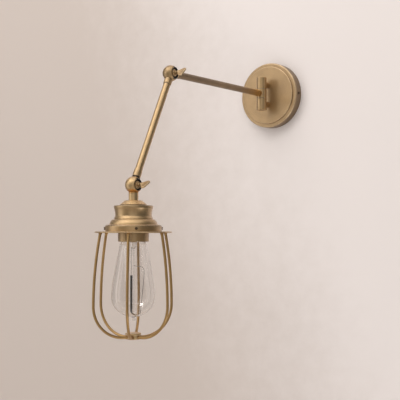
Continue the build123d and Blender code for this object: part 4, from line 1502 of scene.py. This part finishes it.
@dataclass
class Studio:
    """Pale wall and floor, soft lamps and the photograph's camera."""

    left: float = -2.5
    right: float = 0.28
    top: float = 1.5
    front: float = -3.0
    floor: float = -1.3
    wall_behind: float = 0.4 * MM
    hole_inset: float = 2.6 * MM
    hole_points: int = 64
    surround: Triple = (0.88, 0.93, 1.0)
    surround_strength: float = 0.17
    camera_place: Triple = (0.8398, -1.32807, -0.23858)
    camera_pitch: float = 91.897
    camera_yaw: float = 37.147
    camera_lens: float = 78.495

    def wall_points(self) -> Array:
        """The wall as two rows of points: the rim of a round hole that the plate covers, and the border.

        At each angle about the hole the border lies where a ray first meets one of the wall's four sides,
        at the smaller of side / cosine and side / sine.

        Returns:
            An array of two rows of points.
        """
        corners = [math.atan2(z, x) for z in (self.floor, self.top) for x in (self.left, self.right)]
        even = np.linspace(-np.pi, np.pi, self.hole_points, endpoint=False)
        angle = np.sort(np.concatenate([even, corners]))
        cosine, sine = np.cos(angle), np.sin(angle)
        side = np.abs(np.where(cosine > 0, self.right, self.left)) / np.maximum(np.abs(cosine), LEAST_SIDE)
        level = np.abs(np.where(sine > 0, self.top, self.floor)) / np.maximum(np.abs(sine), LEAST_SIDE)
        hole = np.full(len(angle), reach("wall_plate") - self.hole_inset)
        distance = np.stack([hole, np.minimum(side, level)])
        depth = np.full(distance.shape, self.wall_behind)
        return np.stack([distance * cosine, depth, distance * sine], axis=-1)

    def panel(self, name: str, points: Array, faces: Array, plaster: Plaster) -> None:
        """A panel of the stage.

        Args:
            name: The panel's name.
            points: Its points.
            faces: Four point numbers for each quad, seen from the front against the clock.
            plaster: Its finish.
        """
        mesh = bpy.data.meshes.new(name)
        mesh.from_pydata(points.reshape(-1, 3).tolist(), [], faces.tolist())
        mesh.materials.append(plaster.material(name))
        placed(name, mesh)

    def sky(self) -> None:
        """A dim even surround."""
        world = bpy.data.worlds.new("studio surround")
        world.use_nodes = True
        bpy.context.scene.world = world
        background = world.node_tree.nodes["Background"]
        background.inputs["Color"].default_value = (*self.surround, 1.0)
        background.inputs["Strength"].default_value = self.surround_strength

    def camera(self) -> None:
        """The camera at the photograph's viewing angle."""
        data = bpy.data.cameras.new("photograph camera")
        data.lens = self.camera_lens
        camera = placed("photograph camera", data)
        camera.location = self.camera_place
        camera.rotation_euler = (math.radians(self.camera_pitch), 0, math.radians(self.camera_yaw))
        bpy.context.scene.camera = camera

    def build(self) -> None:
        """Sets up the whole studio."""
        wall = self.wall_points()
        left, right, front, back = self.left, -self.left, self.front, self.wall_behind
        border = (left, front), (right, front), (right, back), (left, back)
        floor = np.array([(x, y, self.floor) for x, y in border])
        self.panel("studio_wall", wall, grid_faces(*wall.shape[:2], False), WALL_PLASTER_PAINTED_LIGHT)
        self.panel("studio_floor", floor, np.arange(len(floor))[None], FLOOR_PLASTER)
        for lamp in LAMPS:
            lamp.build()
        self.sky()
        self.camera()
        bpy.context.scene.view_settings.view_transform = "Standard"


def main() -> None:
    """Builds the shader groups, the studio and each sub-assembly."""
    logging.basicConfig(level=logging.INFO, format="%(message)s")
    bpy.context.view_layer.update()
    for make_group in SHADER_GROUPS:
        make_group()
    Studio().build()
    dresser = Dresser()
    assemblies = (
        WallMount(), SwingArms(),
        BallPivot(
            "elbow", ELBOW, ("elbow_inner_half", "elbow_outer_half"), paddle_turn=47.0, brass=AGED_BRASS),
        BallPivot(
            "shade", SHADE_PIVOT, ("shade_pivot_arm_half", "shade_pivot_neck_half"), paddle_turn=57.0,
            brass=PAINTED_LIGHT_BRASS, lines=(SHADE_FOOT_PAINTED_REFLECTION, SHADE_JOINT_PAINTED_SHADE)),
        ShadeHolder(), WireCage(), LampSocket(), PearBulb(),
    )
    for assembly in assemblies:
        assembly.build(dresser)
        log.info("%s built", type(assembly).__name__)


if __name__ == "__main__":
    main()
